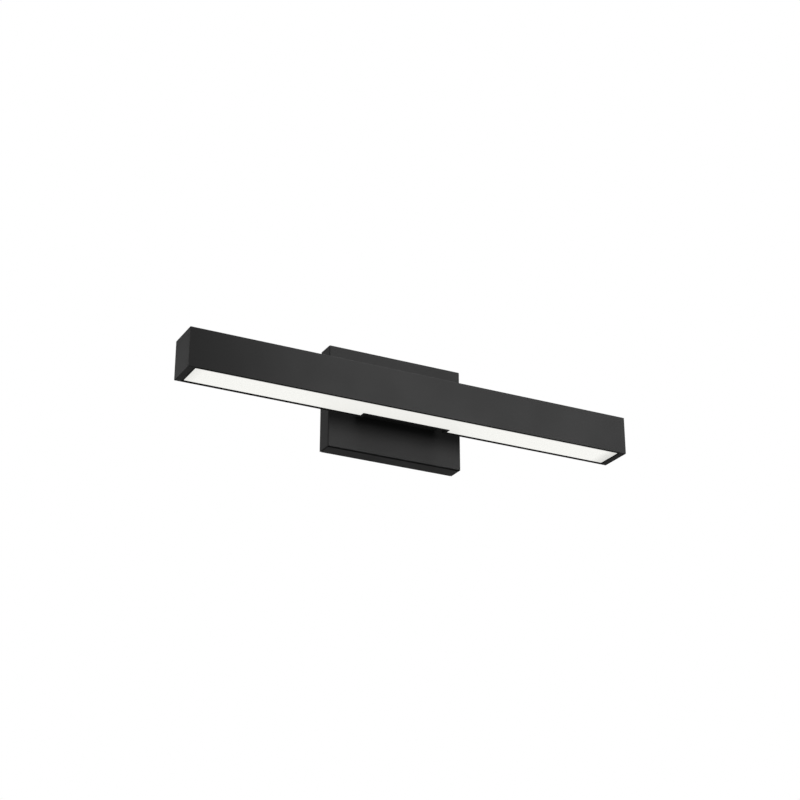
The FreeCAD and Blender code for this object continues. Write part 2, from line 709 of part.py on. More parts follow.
def driver_screws():
    """Screws through the driver's ears into the web."""
    return Part.makeCompound([screw(M3, (x, web_rear + driver_ear_thickness, driver_middle), (0, -1, 0),
                                    driver_ear_thickness + chassis_sheet) for x in driver_ear_x])


def terminal_block():
    """Three-pole terminal block with its entries facing the wall."""
    body = box(block_left, block_right, web_rear, block_rear, block_bottom, block_top)
    pole_pitch = (block_screws[1] - block_screws[0]) / (block_poles + 1)
    tools = [rod(block_middle, block_rear + drill_overrun, block_screws[0] + (i + 1) * pole_pitch,
                 block_port_radius, block_port_depth + drill_overrun, (0, -1, 0)) for i in range(block_poles)]
    for z in block_screws:
        tools.append(rod(block_middle, web_rear - drill_overrun, z, M3[0] + screw_fit,
                         block_depth + 2 * drill_overrun, (0, 1, 0)))
    for z in mains_z:
        tools.append(lead_bore(block_right, lead_y, z, (-1, 0, 0)))
    tools.append(lead_bore(ground_drop_x, lead_y, block_bottom, (0, 0, 1)))
    return cut_all(body, tools)


def terminal_block_screws():
    """Long screws through the terminal block into the web."""
    return Part.makeCompound([screw(M3, (block_middle, block_rear, z), (0, -1, 0),
                                    block_depth + chassis_sheet) for z in block_screws])


def mains_leads():
    """Two leads from the terminal block to the driver, each with a gentle step down."""
    leads = []
    third = jumper_gap / 3
    for z in mains_z:
        low = z - jumper_step
        leads.append(lead([(block_right - lead_entry, lead_y, z), (block_right + third, lead_y, z),
                           (driver_left - third, lead_y, low), (driver_left + lead_entry, lead_y, low)],
                          lead_radius, lead_bend_radius))
    return Part.makeCompound(leads)


def output_leads():
    """Two leads from the driver, down inside the canopy, through the arm, up to the board plug."""
    leads = []
    for side in (-1, 1):
        shift = side * lead_pitch / 2
        high = driver_middle + shift
        fall = fall_x + shift
        low = cable_z - shift
        rise = plug_y - shift
        leads.append(lead([(driver_right - lead_entry, lead_y, high), (fall, lead_y, high),
                           (fall, lead_y, low), (cable_x, lead_y, low), (cable_x, rise, low),
                           (cable_x, rise, plug_z), (plug_end - lead_entry, rise, plug_z)],
                          lead_radius, lead_bend_radius))
    return Part.makeCompound(leads)


def ground_lead():
    """Green lead from the terminal block down to the lug on the bracket."""
    step = lead_bend_radius * 2
    return lead([(ground_drop_x, lead_y, block_bottom + lead_entry), (ground_drop_x, lead_y, ground_z),
                 (barrel_end - 2 * step, lead_y, ground_z), (barrel_end - step, barrel_y, ground_z),
                 (barrel_end + lead_entry, barrel_y, ground_z)], lead_radius, lead_bend_radius)


# ---- Nodes -----------------------------------------------------------------------------------
nodes = {
    "bar_housing": bar_housing(),
    "end_cap_left": end_cap(-1),
    "end_cap_right": end_cap(1),
    "end_cap_screws": end_cap_screws(),
    "diffuser": diffuser(),
    "led_tray": led_tray(),
    "tray_screws": tray_screw_set(),
    "led_board_left": led_board(-1),
    "led_board_right": led_board(1),
    "led_chips_left": led_chips(-1),
    "led_chips_right": led_chips(1),
    "board_screws": board_screw_set(),
    "board_link": board_link(),
    "board_socket": board_socket(),
    "board_plug": board_plug(),
    "arm_frame": arm_frame(),
    "arm_frame_screws": arm_frame_screws(),
    "arm": arm(),
    "arm_front_screws": arm_front_screws(),
    "arm_rear_screws": arm_rear_screws(),
    "front_grommet": grommet(frame_front, pocket_front),
    "rear_grommet": grommet(canopy_front, web_rear),
    "canopy_cover": canopy_cover(),
    "canopy_chassis": canopy_chassis(),
    "canopy_screws": canopy_screws(),
    "wall_bracket": wall_bracket(),
    "ground_screw": ground_screw(),
    "ground_lug": ground_lug(),
    "ground_lead": ground_lead(),
    "led_driver": led_driver(),
    "driver_screws": driver_screws(),
    "terminal_block": terminal_block(),
    "terminal_block_screws": terminal_block_screws(),
    "mains_leads": mains_leads(),
    "output_leads": output_leads(),
}

os.makedirs("parts", exist_ok=True)
for name, shape in nodes.items():
    shape.exportStep("parts/" + name + ".step")
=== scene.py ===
import math

import bmesh
import bpy
import numpy as np
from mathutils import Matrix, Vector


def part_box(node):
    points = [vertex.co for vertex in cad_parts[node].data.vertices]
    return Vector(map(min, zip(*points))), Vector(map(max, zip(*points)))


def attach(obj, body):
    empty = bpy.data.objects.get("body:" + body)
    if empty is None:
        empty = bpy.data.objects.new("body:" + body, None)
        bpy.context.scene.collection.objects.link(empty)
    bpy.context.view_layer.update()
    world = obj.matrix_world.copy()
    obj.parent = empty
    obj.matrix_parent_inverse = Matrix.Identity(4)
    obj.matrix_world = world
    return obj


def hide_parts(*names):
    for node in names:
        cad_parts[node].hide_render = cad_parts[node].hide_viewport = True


bl_info = {
    "name": "Vanity Light Bar",
    "version": (1, 0, 0),
    "blender": (4, 5, 0),
    "location": "View3D > Sidebar > Vanity Bar",
    "description": "Builds the finished skins, materials and studio of a wall-mounted vanity light bar",
    "category": "Object",
}

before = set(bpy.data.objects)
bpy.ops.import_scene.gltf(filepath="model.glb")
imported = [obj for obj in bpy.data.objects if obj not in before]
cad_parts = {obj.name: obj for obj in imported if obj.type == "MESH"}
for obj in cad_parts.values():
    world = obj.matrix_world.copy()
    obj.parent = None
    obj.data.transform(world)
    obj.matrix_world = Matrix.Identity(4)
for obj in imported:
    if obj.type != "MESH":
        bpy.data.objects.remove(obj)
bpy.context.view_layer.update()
MM = 0.001
TURN = 2 * math.pi
RIGHT, LEFT, BACK, FRONT, UP, DOWN = (1, 0, 0), (-1, 0, 0), (0, 1, 0), (0, -1, 0), (0, 0, 1), (0, 0, -1)


def mm(*values):
    """Millimetres as an array of metres."""
    return np.array(values) * MM


# ---- Where things are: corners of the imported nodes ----
def corners(node):
    """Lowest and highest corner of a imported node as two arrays."""
    low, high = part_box(node)
    return np.array(low), np.array(high)


BAR_LOW, BAR_HIGH = corners("bar_housing")
CAP_LOW, CAP_HIGH = corners("end_cap_right")
OPAL_LOW, OPAL_HIGH = corners("diffuser")
TRAY_LOW, TRAY_HIGH = corners("led_tray")
BOARD_LOW, BOARD_HIGH = corners("led_board_right")
FRAME_LOW, FRAME_HIGH = corners("arm_frame")
ARM_LOW, ARM_HIGH = corners("arm")
COVER_LOW, COVER_HIGH = corners("canopy_cover")
CHASSIS_LOW, CHASSIS_HIGH = corners("canopy_chassis")
BRACKET_LOW, BRACKET_HIGH = corners("wall_bracket")
DRIVER_LOW, DRIVER_HIGH = corners("led_driver")
BLOCK_LOW, BLOCK_HIGH = corners("terminal_block")


def middles(node):
    """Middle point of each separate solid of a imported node."""
    work = bmesh.new()
    work.from_mesh(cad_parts[node].data)
    bmesh.ops.remove_doubles(work, verts=work.verts, dist=1e-6)
    left, found = set(work.verts), []
    while left:
        heap, island = [left.pop()], []
        while heap:
            vertex = heap.pop()
            island.append(vertex.co[:])
            near = {edge.other_vert(vertex) for edge in vertex.link_edges} & left
            left -= near
            heap += near
        found.append((np.min(island, 0) + np.max(island, 0)) / 2)
    work.free()
    return sorted((np.array(m) for m in found), key=tuple)


NOTCH_HALF = 61.0 * MM
CABLE_X, CABLE_Z = 30.0 * MM, (ARM_LOW[2] + ARM_HIGH[2]) / 2


# ---- Surfaces ----
def rounded_outline(points, radii, steps=4):
    """Closed outline with a circular arc at each corner. The arc starts r tan(a / 2) before the
    corner, where a is the turn, and goes round a centre r to the side of the turn."""
    points = np.asarray(points, float)
    radii = np.broadcast_to(np.asarray(radii, float), len(points))
    before = points - np.roll(points, 1, 0)
    after = np.roll(points, -1, 0) - points
    before /= np.linalg.norm(before, axis=1)[:, None]
    after /= np.linalg.norm(after, axis=1)[:, None]
    turn = np.arctan2(before[:, 0] * after[:, 1] - before[:, 1] * after[:, 0], (before * after).sum(1))
    side = np.sign(turn)
    start = points - before * (radii * np.tan(np.abs(turn) / 2))[:, None]
    spoke = np.stack([before[:, 1], -before[:, 0]], 1) * (side * radii)[:, None]
    centre = start - spoke
    angle = turn[:, None] * np.linspace(0, 1, steps + 1)
    c, s = np.cos(angle), np.sin(angle)
    x = centre[:, :1] + spoke[:, :1] * c - spoke[:, 1:] * s
    y = centre[:, 1:] + spoke[:, :1] * s + spoke[:, 1:] * c
    return np.stack([x, y], -1).reshape(-1, 2)


def inset(outline, depth):
    """Outline moved inwards: each point goes along the sum of its two edges' unit normals, times
    2 depth / (the sum's length squared), so that both edges move by depth. The depth stays under
    the smallest outer corner's radius, past which the corner would fold over."""
    edge = np.roll(outline, -1, 0) - outline
    edge /= np.linalg.norm(edge, axis=1)[:, None]
    normal = np.stack([-edge[:, 1], edge[:, 0]], 1)
    middle = normal + np.roll(normal, 1, 0)
    area = (outline[:, 0] * np.roll(outline[:, 1], -1) - outline[:, 1] * np.roll(outline[:, 0], -1)).sum()
    return outline + middle * (2 * depth * np.sign(area) / (middle ** 2).sum(1))[:, None]


def bridge(ring_a, ring_b):
    """Quads between two rings of vertex numbers."""
    return np.stack([ring_a, np.roll(ring_a, -1), np.roll(ring_b, -1), ring_b], 1).tolist()


def loft(rings, join=False, caps=True):
    """Skin through equal rings of points: quads from each ring to the next. The last ring is joined
    to the first, or a flat face closes each end, or the ends stay open."""
    rings = np.asarray(rings)
    rows = np.arange(rings.shape[0] * rings.shape[1]).reshape(rings.shape[:2])
    faces = [face for a, b in zip(rows, rows[1:]) for face in bridge(a, b)]
    if join:
        faces += bridge(rows[-1], rows[0])
    elif caps:
        faces += [rows[0].tolist(), rows[-1].tolist()]
    return rings.reshape(-1, 3), faces


def on_axis(flat, level, axis):
    """Points of a flat outline put square to an axis: X takes (y, z), Y takes (x, z), Z takes (x, y)."""
    return np.insert(flat, "XYZ".index(axis), level, axis=1)


def rounding(edge):
    """Quarter circle at an end, over an angle t: edge (1 - cos t) is how far inside the end a step
    lies, and edge (1 - sin t) how far it is inset."""
    t = np.linspace(0, math.pi / 2, 4) if edge else np.array([math.pi / 2])
    return edge * (1 - np.cos(t)), edge * (1 - np.sin(t))


def extrusion(outline, low, high, axis="X", edge=0.0, gap=0.0, dropped=(), outside=False):
    """An outline carried along an axis from low to high, its ends rounded by a quarter circle.
    Within gap of the middle, or outside it, the dropped run of the outline's points is left out,
    and a flat face closes the step on both sides."""
    depth, shrink = rounding(edge)
    extra = (-gap, gap) if gap else ()
    station = np.concatenate([low + depth, extra, (high - depth)[::-1]])
    shrink = np.concatenate([shrink, np.zeros(len(extra)), shrink[::-1]])
    n = len(outline)
    points = np.concatenate([on_axis(inset(outline, d) if d > 1e-9 else outline, x, axis)
                             for x, d in zip(station, shrink)])
    rings = np.arange(n * len(station)).reshape(-1, n)
    whole, kept = np.arange(n), np.setdiff1d(np.arange(n), dropped)
    part = [kept if (abs(x) < gap) != outside else whole for x in (station[1:] + station[:-1]) / 2]
    faces = [face for k, pick in enumerate(part) for face in bridge(rings[k][pick], rings[k + 1][pick])]
    faces += [rings[0][part[0]].tolist(), rings[-1][part[-1]].tolist()]
    step = np.arange(min(dropped) - 1, max(dropped) + 2) % n if len(dropped) else whole
    faces += [rings[k][step].tolist() for k, x in enumerate(station) if x in extra]
    return points, faces


def tube(outer, inner, low, high, axis, edge):
    """Open tube: the inner outline at one end, the outer one rounded at both ends by a quarter
    circle, and the inner one at the other end, joined into one closed skin."""
    depth, shrink = rounding(edge)
    rings = [on_axis(inner, low, axis)]
    rings += [on_axis(inset(outer, d), low + x, axis) for x, d in zip(depth, shrink)]
    rings += [on_axis(inset(outer, d), high - x, axis) for x, d in zip(depth[::-1], shrink[::-1])]
    return loft(rings + [on_axis(inner, high, axis)], join=True)


def rectangle(x0, z0, x1, z1):
    """Corners of a rectangle, in turn."""
    return [(x0, z0), (x1, z0), (x1, z1), (x0, z1)]


def block(low, high, radius, edge=None, axis="Z", steps=4):
    """Box with rounded edges: a rounded rectangle carried along an axis, its ends rounded too."""
    along = "XYZ".index(axis)
    a, b = (i for i in range(3) if i != along)
    outline = rounded_outline(rectangle(low[a], low[b], high[a], high[b]), radius, steps)
    return extrusion(outline, low[along], high[along], axis, radius * 0.8 if edge is None else edge)


def rod(place, direction, radius, length, sides=32):
    """Plain cylinder from a place along a direction, used as a cutter."""
    skin = turned([0.0, radius, radius, 0.0], [0.0, 0.0, length, length], sides)
    return stand(skin, [place], direction)[0]


def turned(radius, height, sides=24, shape=None, join=False):
    """Lathe surface about +Z: each row has one radius and one height, times a shape over the angle
    where one is given. Rows of zero radius close it, or its last row joins its first, which makes
    a ring with a bore."""
    angle = np.arange(sides) / sides * TURN
    row = np.broadcast_to(np.asarray(radius, float)[:, None], (len(radius), sides))
    if shape is not None:
        row = row * shape
    level = np.broadcast_to(np.asarray(height, float)[:, None], row.shape)
    return loft(np.stack([row * np.cos(angle), row * np.sin(angle), level], -1), join, caps=False)


def screw_skin(shank, head, height, length, pitch, flat):
    """Screw about +Z with its seat at zero. Rows: socket floor, hexagonal socket wall, domed or
    countersunk head, and a shank whose radius falls by a triangle wave of height / pitch minus
    angle, which is a helical thread. The hexagon's radius is c cos 30 / cos(angle from its flat)."""
    sides = 24
    angle = np.arange(sides) / sides * TURN
    hexagon = math.cos(math.pi / 6) / np.cos(np.mod(angle, math.pi / 3) - math.pi / 6)
    socket, cone = head * 0.45, head - shank
    quarter = np.linspace(0, 1, 5) * math.pi / 2
    if flat:
        top, floor, seat = 0.0, -cone * 0.8, -cone
        head_r = [head * 0.96, head, shank]
        head_z = [top, -head * 0.03, -cone]
    else:
        top, floor, seat = height, height * 0.4, 0.0
        head_r = [*(head * (0.78 + 0.22 * np.sin(quarter))), head, head * 0.97, shank]
        head_z = [*(height * (0.45 + 0.55 * np.cos(quarter))), height * 0.06, 0.0, 0.0]
    turns = max((length + seat) / pitch, 1)
    z = np.linspace(seat - pitch * 0.3, -length + shank * 0.4, int(turns * 4) + 2)
    wave = np.abs(2 * np.mod(z[:, None] / pitch - angle / TURN, 1) - 1)
    radius = [0.0, socket, socket, *head_r] + [shank] * len(z) + [shank * 0.7, 0.0]
    level = [floor, floor, top, *head_z] + list(z) + [-length, -length]
    shape = np.ones((len(radius), sides))
    shape[1:3] = hexagon
    thread = 3 + len(head_r)
    shape[thread:thread + len(z)] = 1 - 0.16 * (1 - wave)
    return turned(radius, level, sides, shape)


def stand(skin, places, direction):
    """Copies of a skin whose +Z points along a direction, one at each place."""
    points, faces = skin
    z = np.array(direction, float)
    x = np.array((1.0, 0, 0)) if abs(z[0]) < 0.5 else np.array((0, 0, 1.0))
    y = np.cross(z, x)
    points = points @ np.stack([x, y, z])
    return [(points + np.array(place), faces) for place in places]


def stack(outline, levels, insets):
    """An outline carried through a list of levels along Y, inset by its own amount at each one, so
    that equal levels make a step and near ones a chamfer. Flat faces close both ends."""
    return loft([on_axis(inset(outline, d) if d else outline, level, "Y")
                 for level, d in zip(levels, insets)])


def smooth_path(route):
    """Points along a quadratic B-spline whose control points are the route's points."""
    curve = bpy.data.curves.new("path", "CURVE")
    curve.dimensions = "3D"
    spline = curve.splines.new("NURBS")
    spline.points.add(len(route) - 1)
    spline.points.foreach_set("co", np.c_[np.asarray(route, float), np.ones(len(route))].ravel())
    spline.order_u, spline.use_endpoint_u, spline.resolution_u = 3, True, 8
    line = bpy.data.objects.new("path", curve)
    mesh = bpy.data.meshes.new_from_object(line)
    points = np.empty(3 * len(mesh.vertices))
    mesh.vertices.foreach_get("co", points)
    bpy.data.objects.remove(line)
    bpy.data.meshes.remove(mesh)
    bpy.data.curves.remove(curve)
    return points.reshape(-1, 3)


def lead_skin(route):
    """Round lead: a circle carried along the route's smooth path. Its two spokes at each point are
    a fixed upright direction and its product with the path's direction, made square to the path."""
    path = smooth_path(route)
    tangent = np.gradient(path, axis=0)
    tangent /= np.linalg.norm(tangent, axis=1)[:, None]
    upright = np.array((0.37, 0.51, 0.78))
    first = np.cross(tangent, upright)
    first /= np.linalg.norm(first, axis=1)[:, None]
    second = np.cross(tangent, first)
    angle = np.arange(14) / 14 * TURN
    return loft(path[:, None] + LEAD * (np.cos(angle)[:, None] * first[:, None]
                                        + np.sin(angle)[:, None] * second[:, None]))


# ---- From surfaces to pieces ----
def mesh_of(name, skins):
    """One mesh from closed skins: doubles merged, then faces turned outwards."""
    points, faces, start = [], [], 0
    for skin_points, skin_faces in skins:
        points.append(skin_points)
        faces += [[v + start for v in face] for face in skin_faces]
        start += len(skin_points)
    mesh = bpy.data.meshes.new(name)
    mesh.from_pydata(np.concatenate(points).tolist(), [], faces)
    work = bmesh.new()
    work.from_mesh(mesh)
    bmesh.ops.remove_doubles(work, verts=work.verts, dist=2e-7)
    bmesh.ops.dissolve_degenerate(work, edges=work.edges, dist=1e-7)
    bmesh.ops.recalc_face_normals(work, faces=work.faces)
    work.to_mesh(mesh)
    work.free()
    return mesh


def baked(obj):
    """The object's mesh becomes what its modifiers make of it."""
    bpy.context.view_layer.update()
    graph = bpy.context.evaluated_depsgraph_get()
    mesh = bpy.data.meshes.new_from_object(obj.evaluated_get(graph))
    obj.modifiers.clear()
    old, obj.data = obj.data, mesh
    mesh.name = obj.name
    bpy.data.meshes.remove(old)


def combine(obj, skins, operation):
    """Exact boolean of a piece with closed skins."""
    tool = bpy.data.objects.new("tool", mesh_of("tool", skins))
    bpy.context.scene.collection.objects.link(tool)
    change = obj.modifiers.new("combine", "BOOLEAN")
    change.operation, change.solver, change.object = operation, "EXACT", tool
    change.use_self = len(skins) > 1
    baked(obj)
    bpy.data.meshes.remove(tool.data)


def new_piece(name, skins, nodes, slot, material=None, added=(), cutters=(), sharp=35, lead=()):
    """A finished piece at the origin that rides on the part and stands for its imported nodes. It and
    they get the named material, or else the one named as its slot. Added skins are fused with it,
    cutters are taken out of it, and flat faces keep flat shading."""
    obj = bpy.data.objects.new(name, mesh_of(name, skins))
    bpy.context.scene.collection.objects.link(obj)
    for skin in added:
        combine(obj, [skin], "UNION")
    if cutters:
        combine(obj, cutters, "DIFFERENCE")
    if len(lead):
        which = obj.data.attributes.new("lead", "FLOAT", "POINT")
        which.data.foreach_set("value", np.asarray(lead, np.float32))
    obj.data.shade_smooth()
    obj.data.set_sharp_from_angle(angle=math.radians(sharp))
    obj.modifiers.new("flat_faces", "WEIGHTED_NORMAL").keep_sharp = True
    baked(obj)
    for mesh in (obj.data, *(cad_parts[node].data for node in nodes)):
        mesh.materials.clear()
        mesh.materials.append(bpy.data.materials[material or slot])
    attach(obj, "root")
    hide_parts(*nodes)
    return obj


# ---- Materials ----
class Finish:
    """A node material with a Principled shader, read from the piece's own Object coordinates."""

    def __init__(self, name, metallic=0.0, ior=1.45):
        self.material = bpy.data.materials.new(name)
        self.material.use_nodes = True
        self.nodes = self.material.node_tree.nodes
        self.links = self.material.node_tree.links
        self.shader = self.nodes["Principled BSDF"]
        self.shader.inputs["Metallic"].default_value = metallic
        self.shader.inputs["IOR"].default_value = ior
        self.place = self.nodes.new("ShaderNodeTexCoord").outputs["Object"]

    def feed(self, socket, value):
        """Link an output to a socket, or set the socket's own value."""
        if isinstance(value, bpy.types.NodeSocket):
            self.links.new(value, socket)
        else:
            socket.default_value = value

    def add(self, kind, output=0, settings=(), **inputs):
        """Add a node; inputs are named by socket with spaces as underscores, or by number."""
        node = self.nodes.new("ShaderNode" + kind)
        for key, value in dict(settings).items():
            setattr(node, key, value)
        for key, value in inputs.items():
            numbered = key[0] == "i" and key[1:].isdigit()
            self.feed(node.inputs[int(key[1:]) if numbered else key.replace("_", " ")], value)
        return node.outputs[output]

    def stretched(self, x, y, z):
        """Object coordinates scaled on each axis."""
        return self.add("Mapping", Vector=self.place, Scale=(x, y, z))

    def noise(self, scale, detail=3.0, roughness=0.55, place=None):
        """Noise from 0 to 1; scale is in features per metre."""
        return self.add("TexNoise", Vector=place or self.place, Scale=scale, Detail=detail,
                        Roughness=roughness)

    def span(self, value, low, high, to_low=0.0, to_high=1.0):
        """Map a range of values to another, clamped."""
        return self.add("MapRange", Value=value, From_Min=low, From_Max=high,
                        To_Min=to_low, To_Max=to_high)

    def sway(self, noise, low=0.0, high=1.0):
        """The middle of a noise's range, from 0.3 to 0.7, mapped from low to high."""
        return self.span(noise, 0.3, 0.7, low, high)

    def maths(self, operation, a, b=0.0):
        """One arithmetic step."""
        return self.add("Math", settings={"operation": operation}, i0=a, i1=b)

    def mix(self, factor, a, b):
        """Blend two colours."""
        node = self.nodes.new("ShaderNodeMix")
        node.data_type = "RGBA"
        for socket, value in zip((node.inputs[0], node.inputs[6], node.inputs[7]), (factor, a, b)):
            self.feed(socket, (*value, 1) if isinstance(value, tuple) and len(value) == 3 else value)
        return node.outputs[2]

    def axis(self, name):
        """One of the Object coordinates."""
        return self.add("SeparateXYZ", "XYZ".index(name), Vector=self.place)

    def off(self, level):
        """Distance from a level on the Y axis."""
        return self.maths("ABSOLUTE", self.maths("SUBTRACT", self.axis("Y"), level))

    def bump(self, height, strength, depth):
        """Bump of a height map; depth in metres."""
        normal = self.add("Bump", Strength=strength, Distance=depth, Height=height)
        self.feed(self.shader.inputs["Normal"], normal)

    def done(self, colour, roughness):
        """Set colour and roughness and hand over the material."""
        self.feed(self.shader.inputs["Base Color"], (*colour, 1) if isinstance(colour, tuple) else colour)
        self.feed(self.shader.inputs["Roughness"], roughness)
        return self.material


def powder_coat(name, look, depth=1.0):
    """Matte black powder coat: a fine pebbled skin that varies a little in tone and gloss, and slow
    drifts in gloss. A depth under 1 is a deeper black with less sheen: a shaded copy of the coat,
    which is painted shade."""
    f = Finish(name, ior=1 + (look.coat_ior - 1) * depth)
    pebble = f.noise(1500, 4, 0.6)
    drift = f.noise(14, 2)
    dark, light = (tuple(c * share * depth for c in look.coat_colour) for share in (0.8, 1.3))
    colour = f.mix(f.sway(pebble), dark, light)
    swing = 0.03
    gloss = f.span(drift, 0.35, 0.65, look.coat_roughness - swing, look.coat_roughness + swing)
    rough = f.maths("ADD", gloss, f.sway(pebble, -0.02, 0.02))
    f.bump(pebble, 0.35, 0.00006)
    return f.done(colour, rough)


def opal_glow(name, look):
    """Opal acrylic lit from behind: bright in the middle, softer at the ends where the LEDs stop
    and along the two long edges, with the faintest unevenness of the cast sheet. Above the face
    its sides give no light, and their black colour is painted shade: it draws the dark line of
    the shadow gap beside the rim."""
    f = Finish(name, ior=1.49)
    end, fade_left, fade_right = 0.2945, 0.0125, 0.0185
    left = f.span(f.axis("X"), -end, fade_left - end, 1 - (1 - look.glow_at_ends) * 0.45, 1.0)
    right = f.span(f.axis("X"), end - fade_right, end, 1.0, look.glow_at_ends)
    # face is 1 on the opal face and 0 on the sides above it, which get no glow and the painted shade colour
    face = f.span(f.axis("Z"), BAR_LOW[2] + 0.0006, BAR_LOW[2] + 0.0009, 1.0, 0.0)
    ends = f.maths("MULTIPLY", f.maths("MULTIPLY", left, right), face)
    half, fade_edge = 0.0198, 0.0058
    edges = f.span(f.off(float((OPAL_LOW[1] + OPAL_HIGH[1]) / 2)), half - fade_edge, half, 1.0, 0.96)
    cloud = f.sway(f.noise(60, 2), 0.992, 1.0)
    level = f.maths("MULTIPLY", f.maths("MULTIPLY", ends, edges), cloud)
    f.feed(f.shader.inputs["Emission Color"], (*look.glow_colour, 1))
    f.feed(f.shader.inputs["Emission Strength"], f.maths("MULTIPLY", level, look.glow))
    f.bump(f.noise(3000, 2), 0.05, 0.00001)
    # The black (0.012) on the sides is painted shade: the dark line of the gap beside the rim
    return f.done(f.mix(face, (0.012, 0.012, 0.012), (0.80, 0.80, 0.78)), 0.42)


def mill_aluminium(name):
    """Mill-finished aluminium: fine rolling lines along the length."""
    f = Finish(name, metallic=1.0)
    lines = f.noise(900, 3, 0.6, f.stretched(0.02, 1, 1))
    f.bump(lines, 0.2, 0.00002)
    return f.done(f.sway(lines, 0.55, 0.72), f.sway(lines, 0.3, 0.45))


def zinc_plate(name, tint=(0.60, 0.62, 0.63), spangle=260):
    """Bright zinc: soft clouds and small crystals that differ a little in tone and gloss, under
    fine rolling lines and a few faint rubs."""
    f = Finish(name, metallic=1.0)
    push = f.add("TexNoise", 1, Vector=f.place, Scale=spangle * 1.3, Detail=2.0)
    warped = f.add("VectorMath", settings={"operation": "ADD"}, i0=f.place,
                   i1=f.add("Mapping", Vector=push, Scale=(0.0035,) * 3))
    cells = f.add("TexVoronoi", "Color", Vector=warped, Scale=spangle)
    crystal = f.add("RGBToBW", Color=cells)
    cloud = f.noise(35, 4)
    tone = f.maths("ADD", f.maths("MULTIPLY", crystal, 0.35), f.maths("MULTIPLY", cloud, 0.65))
    lines = f.noise(2600, 2, 0.5, f.stretched(1, 1, 0.04))
    rubs = f.span(f.noise(420, 5, 0.7, f.stretched(1, 1, 0.3)), 0.64, 0.72)
    light = f.mix(f.sway(tone), tuple(c * 0.88 for c in tint), tuple(min(c * 1.06, 1) for c in tint))
    f.bump(f.maths("ADD", lines, f.maths("MULTIPLY", rubs, -0.4)), 0.15, 0.00002)
    rough = f.maths("ADD", f.sway(tone, 0.30, 0.40), f.sway(lines, -0.03, 0.03))
    return f.done(light, f.maths("ADD", rough, f.maths("MULTIPLY", rubs, 0.1)))


def moulded(name, colour, roughness, grain=1800):
    """Moulded plastic or rubber: spark-eroded grain with faint flow marks."""
    f = Finish(name, ior=1.5)
    fine = f.noise(grain, 3)
    flow = f.noise(40, 2, 0.5, f.stretched(1, 0.3, 1))
    f.bump(fine, 0.3, 0.00003)
    tone = f.mix(f.sway(flow), tuple(c * 0.93 for c in colour), colour)
    return f.done(tone, f.sway(fine, roughness - 0.05, roughness + 0.05))


def circuit_board(name, row_y, half):
    """White solder mask over two broad copper traces beside the row, seen as a slight step and
    tint."""
    f = Finish(name, ior=1.5)
    off = f.off(row_y)
    trace = f.maths("MULTIPLY", f.span(off, half * 0.26, half * 0.3),
                    f.span(off, half * 0.86, half * 0.9, 1.0, 0.0))
    gaps = f.maths("PINGPONG", f.axis("X"), 0.012)
    trace = f.maths("MULTIPLY", trace, f.span(gaps, 0.0004, 0.0007))
    f.bump(f.maths("ADD", trace, f.maths("MULTIPLY", f.noise(900, 2), 0.1)), 0.5, 0.00004)
    return f.done(f.mix(trace, (0.80, 0.81, 0.78), (0.88, 0.89, 0.87)), 0.3)


def phosphor(name, row_y):
    """LED package: yellow phosphor in the middle of a white frame."""
    f = Finish(name)
    yellow = f.span(f.off(row_y), 0.0009, 0.0011, 1.0, 0.0)
    tone = f.mix(yellow, (0.86, 0.86, 0.83), (0.92, 0.72, 0.16))
    tone = f.mix(f.maths("MULTIPLY", f.noise(4000, 1), 0.15), tone, (0.6, 0.5, 0.2))
    return f.done(tone, 0.4)


def insulation(name, first, second):
    """Wire insulation: slightly waxy, one colour for each lead, from the piece's own attribute."""
    f = Finish(name, ior=1.5)
    which = f.add("Attribute", "Fac", settings={"attribute_name": "lead"})
    tone = f.mix(which, first, second)
    drift = f.noise(300, 2)
    tone = f.mix(f.maths("MULTIPLY", drift, 0.12), tone, (0.5, 0.5, 0.5))
    f.bump(f.noise(1200, 2), 0.15, 0.00002)
    return f.done(tone, f.sway(drift, 0.32, 0.42))


# ---- Settings ----
def number(name, description, default, **more):
    """A plain number setting."""
    return bpy.props.FloatProperty(name=name, description=description, default=default,
                                   **{"min": 0.0, "precision": 3, **more})


def length(name, description, default):
    """A length setting, given in millimetres and kept in metres."""
    return number(name, description, default * MM, unit="LENGTH", precision=5)


def colour(name, description, default):
    """A linear colour setting."""
    return bpy.props.FloatVectorProperty(name=name, description=description, default=default,
                                         subtype="COLOR", size=3, min=0.0, max=1.0)


class VANITY_PG_bar(bpy.types.PropertyGroup):
    """Sizes of the bar and its diffuser."""

    wall: length("Wall", "Wall thickness of the extruded channel", 2.0)
    rim: length("Rim", "Visible rim beside the diffuser", 4.7)
    lip: length("Lip", "Thickness of the inward lips", 3.0)
    groove: length("Shadow groove", "Width of the groove along the rim beside the diffuser", 3.8)
    groove_depth: length("Groove depth", "Depth of that groove", 2.2)
    ledge_level: length("Ledge level", "Top of the bar down to the ledges' undersides", 10.0)
    ledge_width: length("Ledge width", "Width of the ledges that hold the tray", 5.5)
    ledge_thickness: length("Ledge thickness", "Thickness of those ledges", 2.0)
    edge: length("Edge radius", "Rounding along the extrusion's outer edges", 0.5)
    fine_edge: length("Fine edge", "Rounding of small edges and cut ends", 0.25)
    frame_fit: length("Frame fit", "Gap round the arm frame in its cut-out", 0.3)
    diffuser_fit: length("Diffuser fit", "Gap between the diffuser and the lips", 0.2)
    diffuser_recess: length("Diffuser recess", "Depth of the opal face above the rim", 0.3)
    diffuser_gap: length("Diffuser gap", "Gap between the diffuser's ends and the end caps", 2.0)
    diffuser_thickness: length("Diffuser thickness", "Thickness of the opal face", 2.0)
    leg: length("Snap leg", "Thickness of the diffuser's legs", 1.2)
    hook: length("Snap hook", "Reach of the hooks over the lips", 1.3)


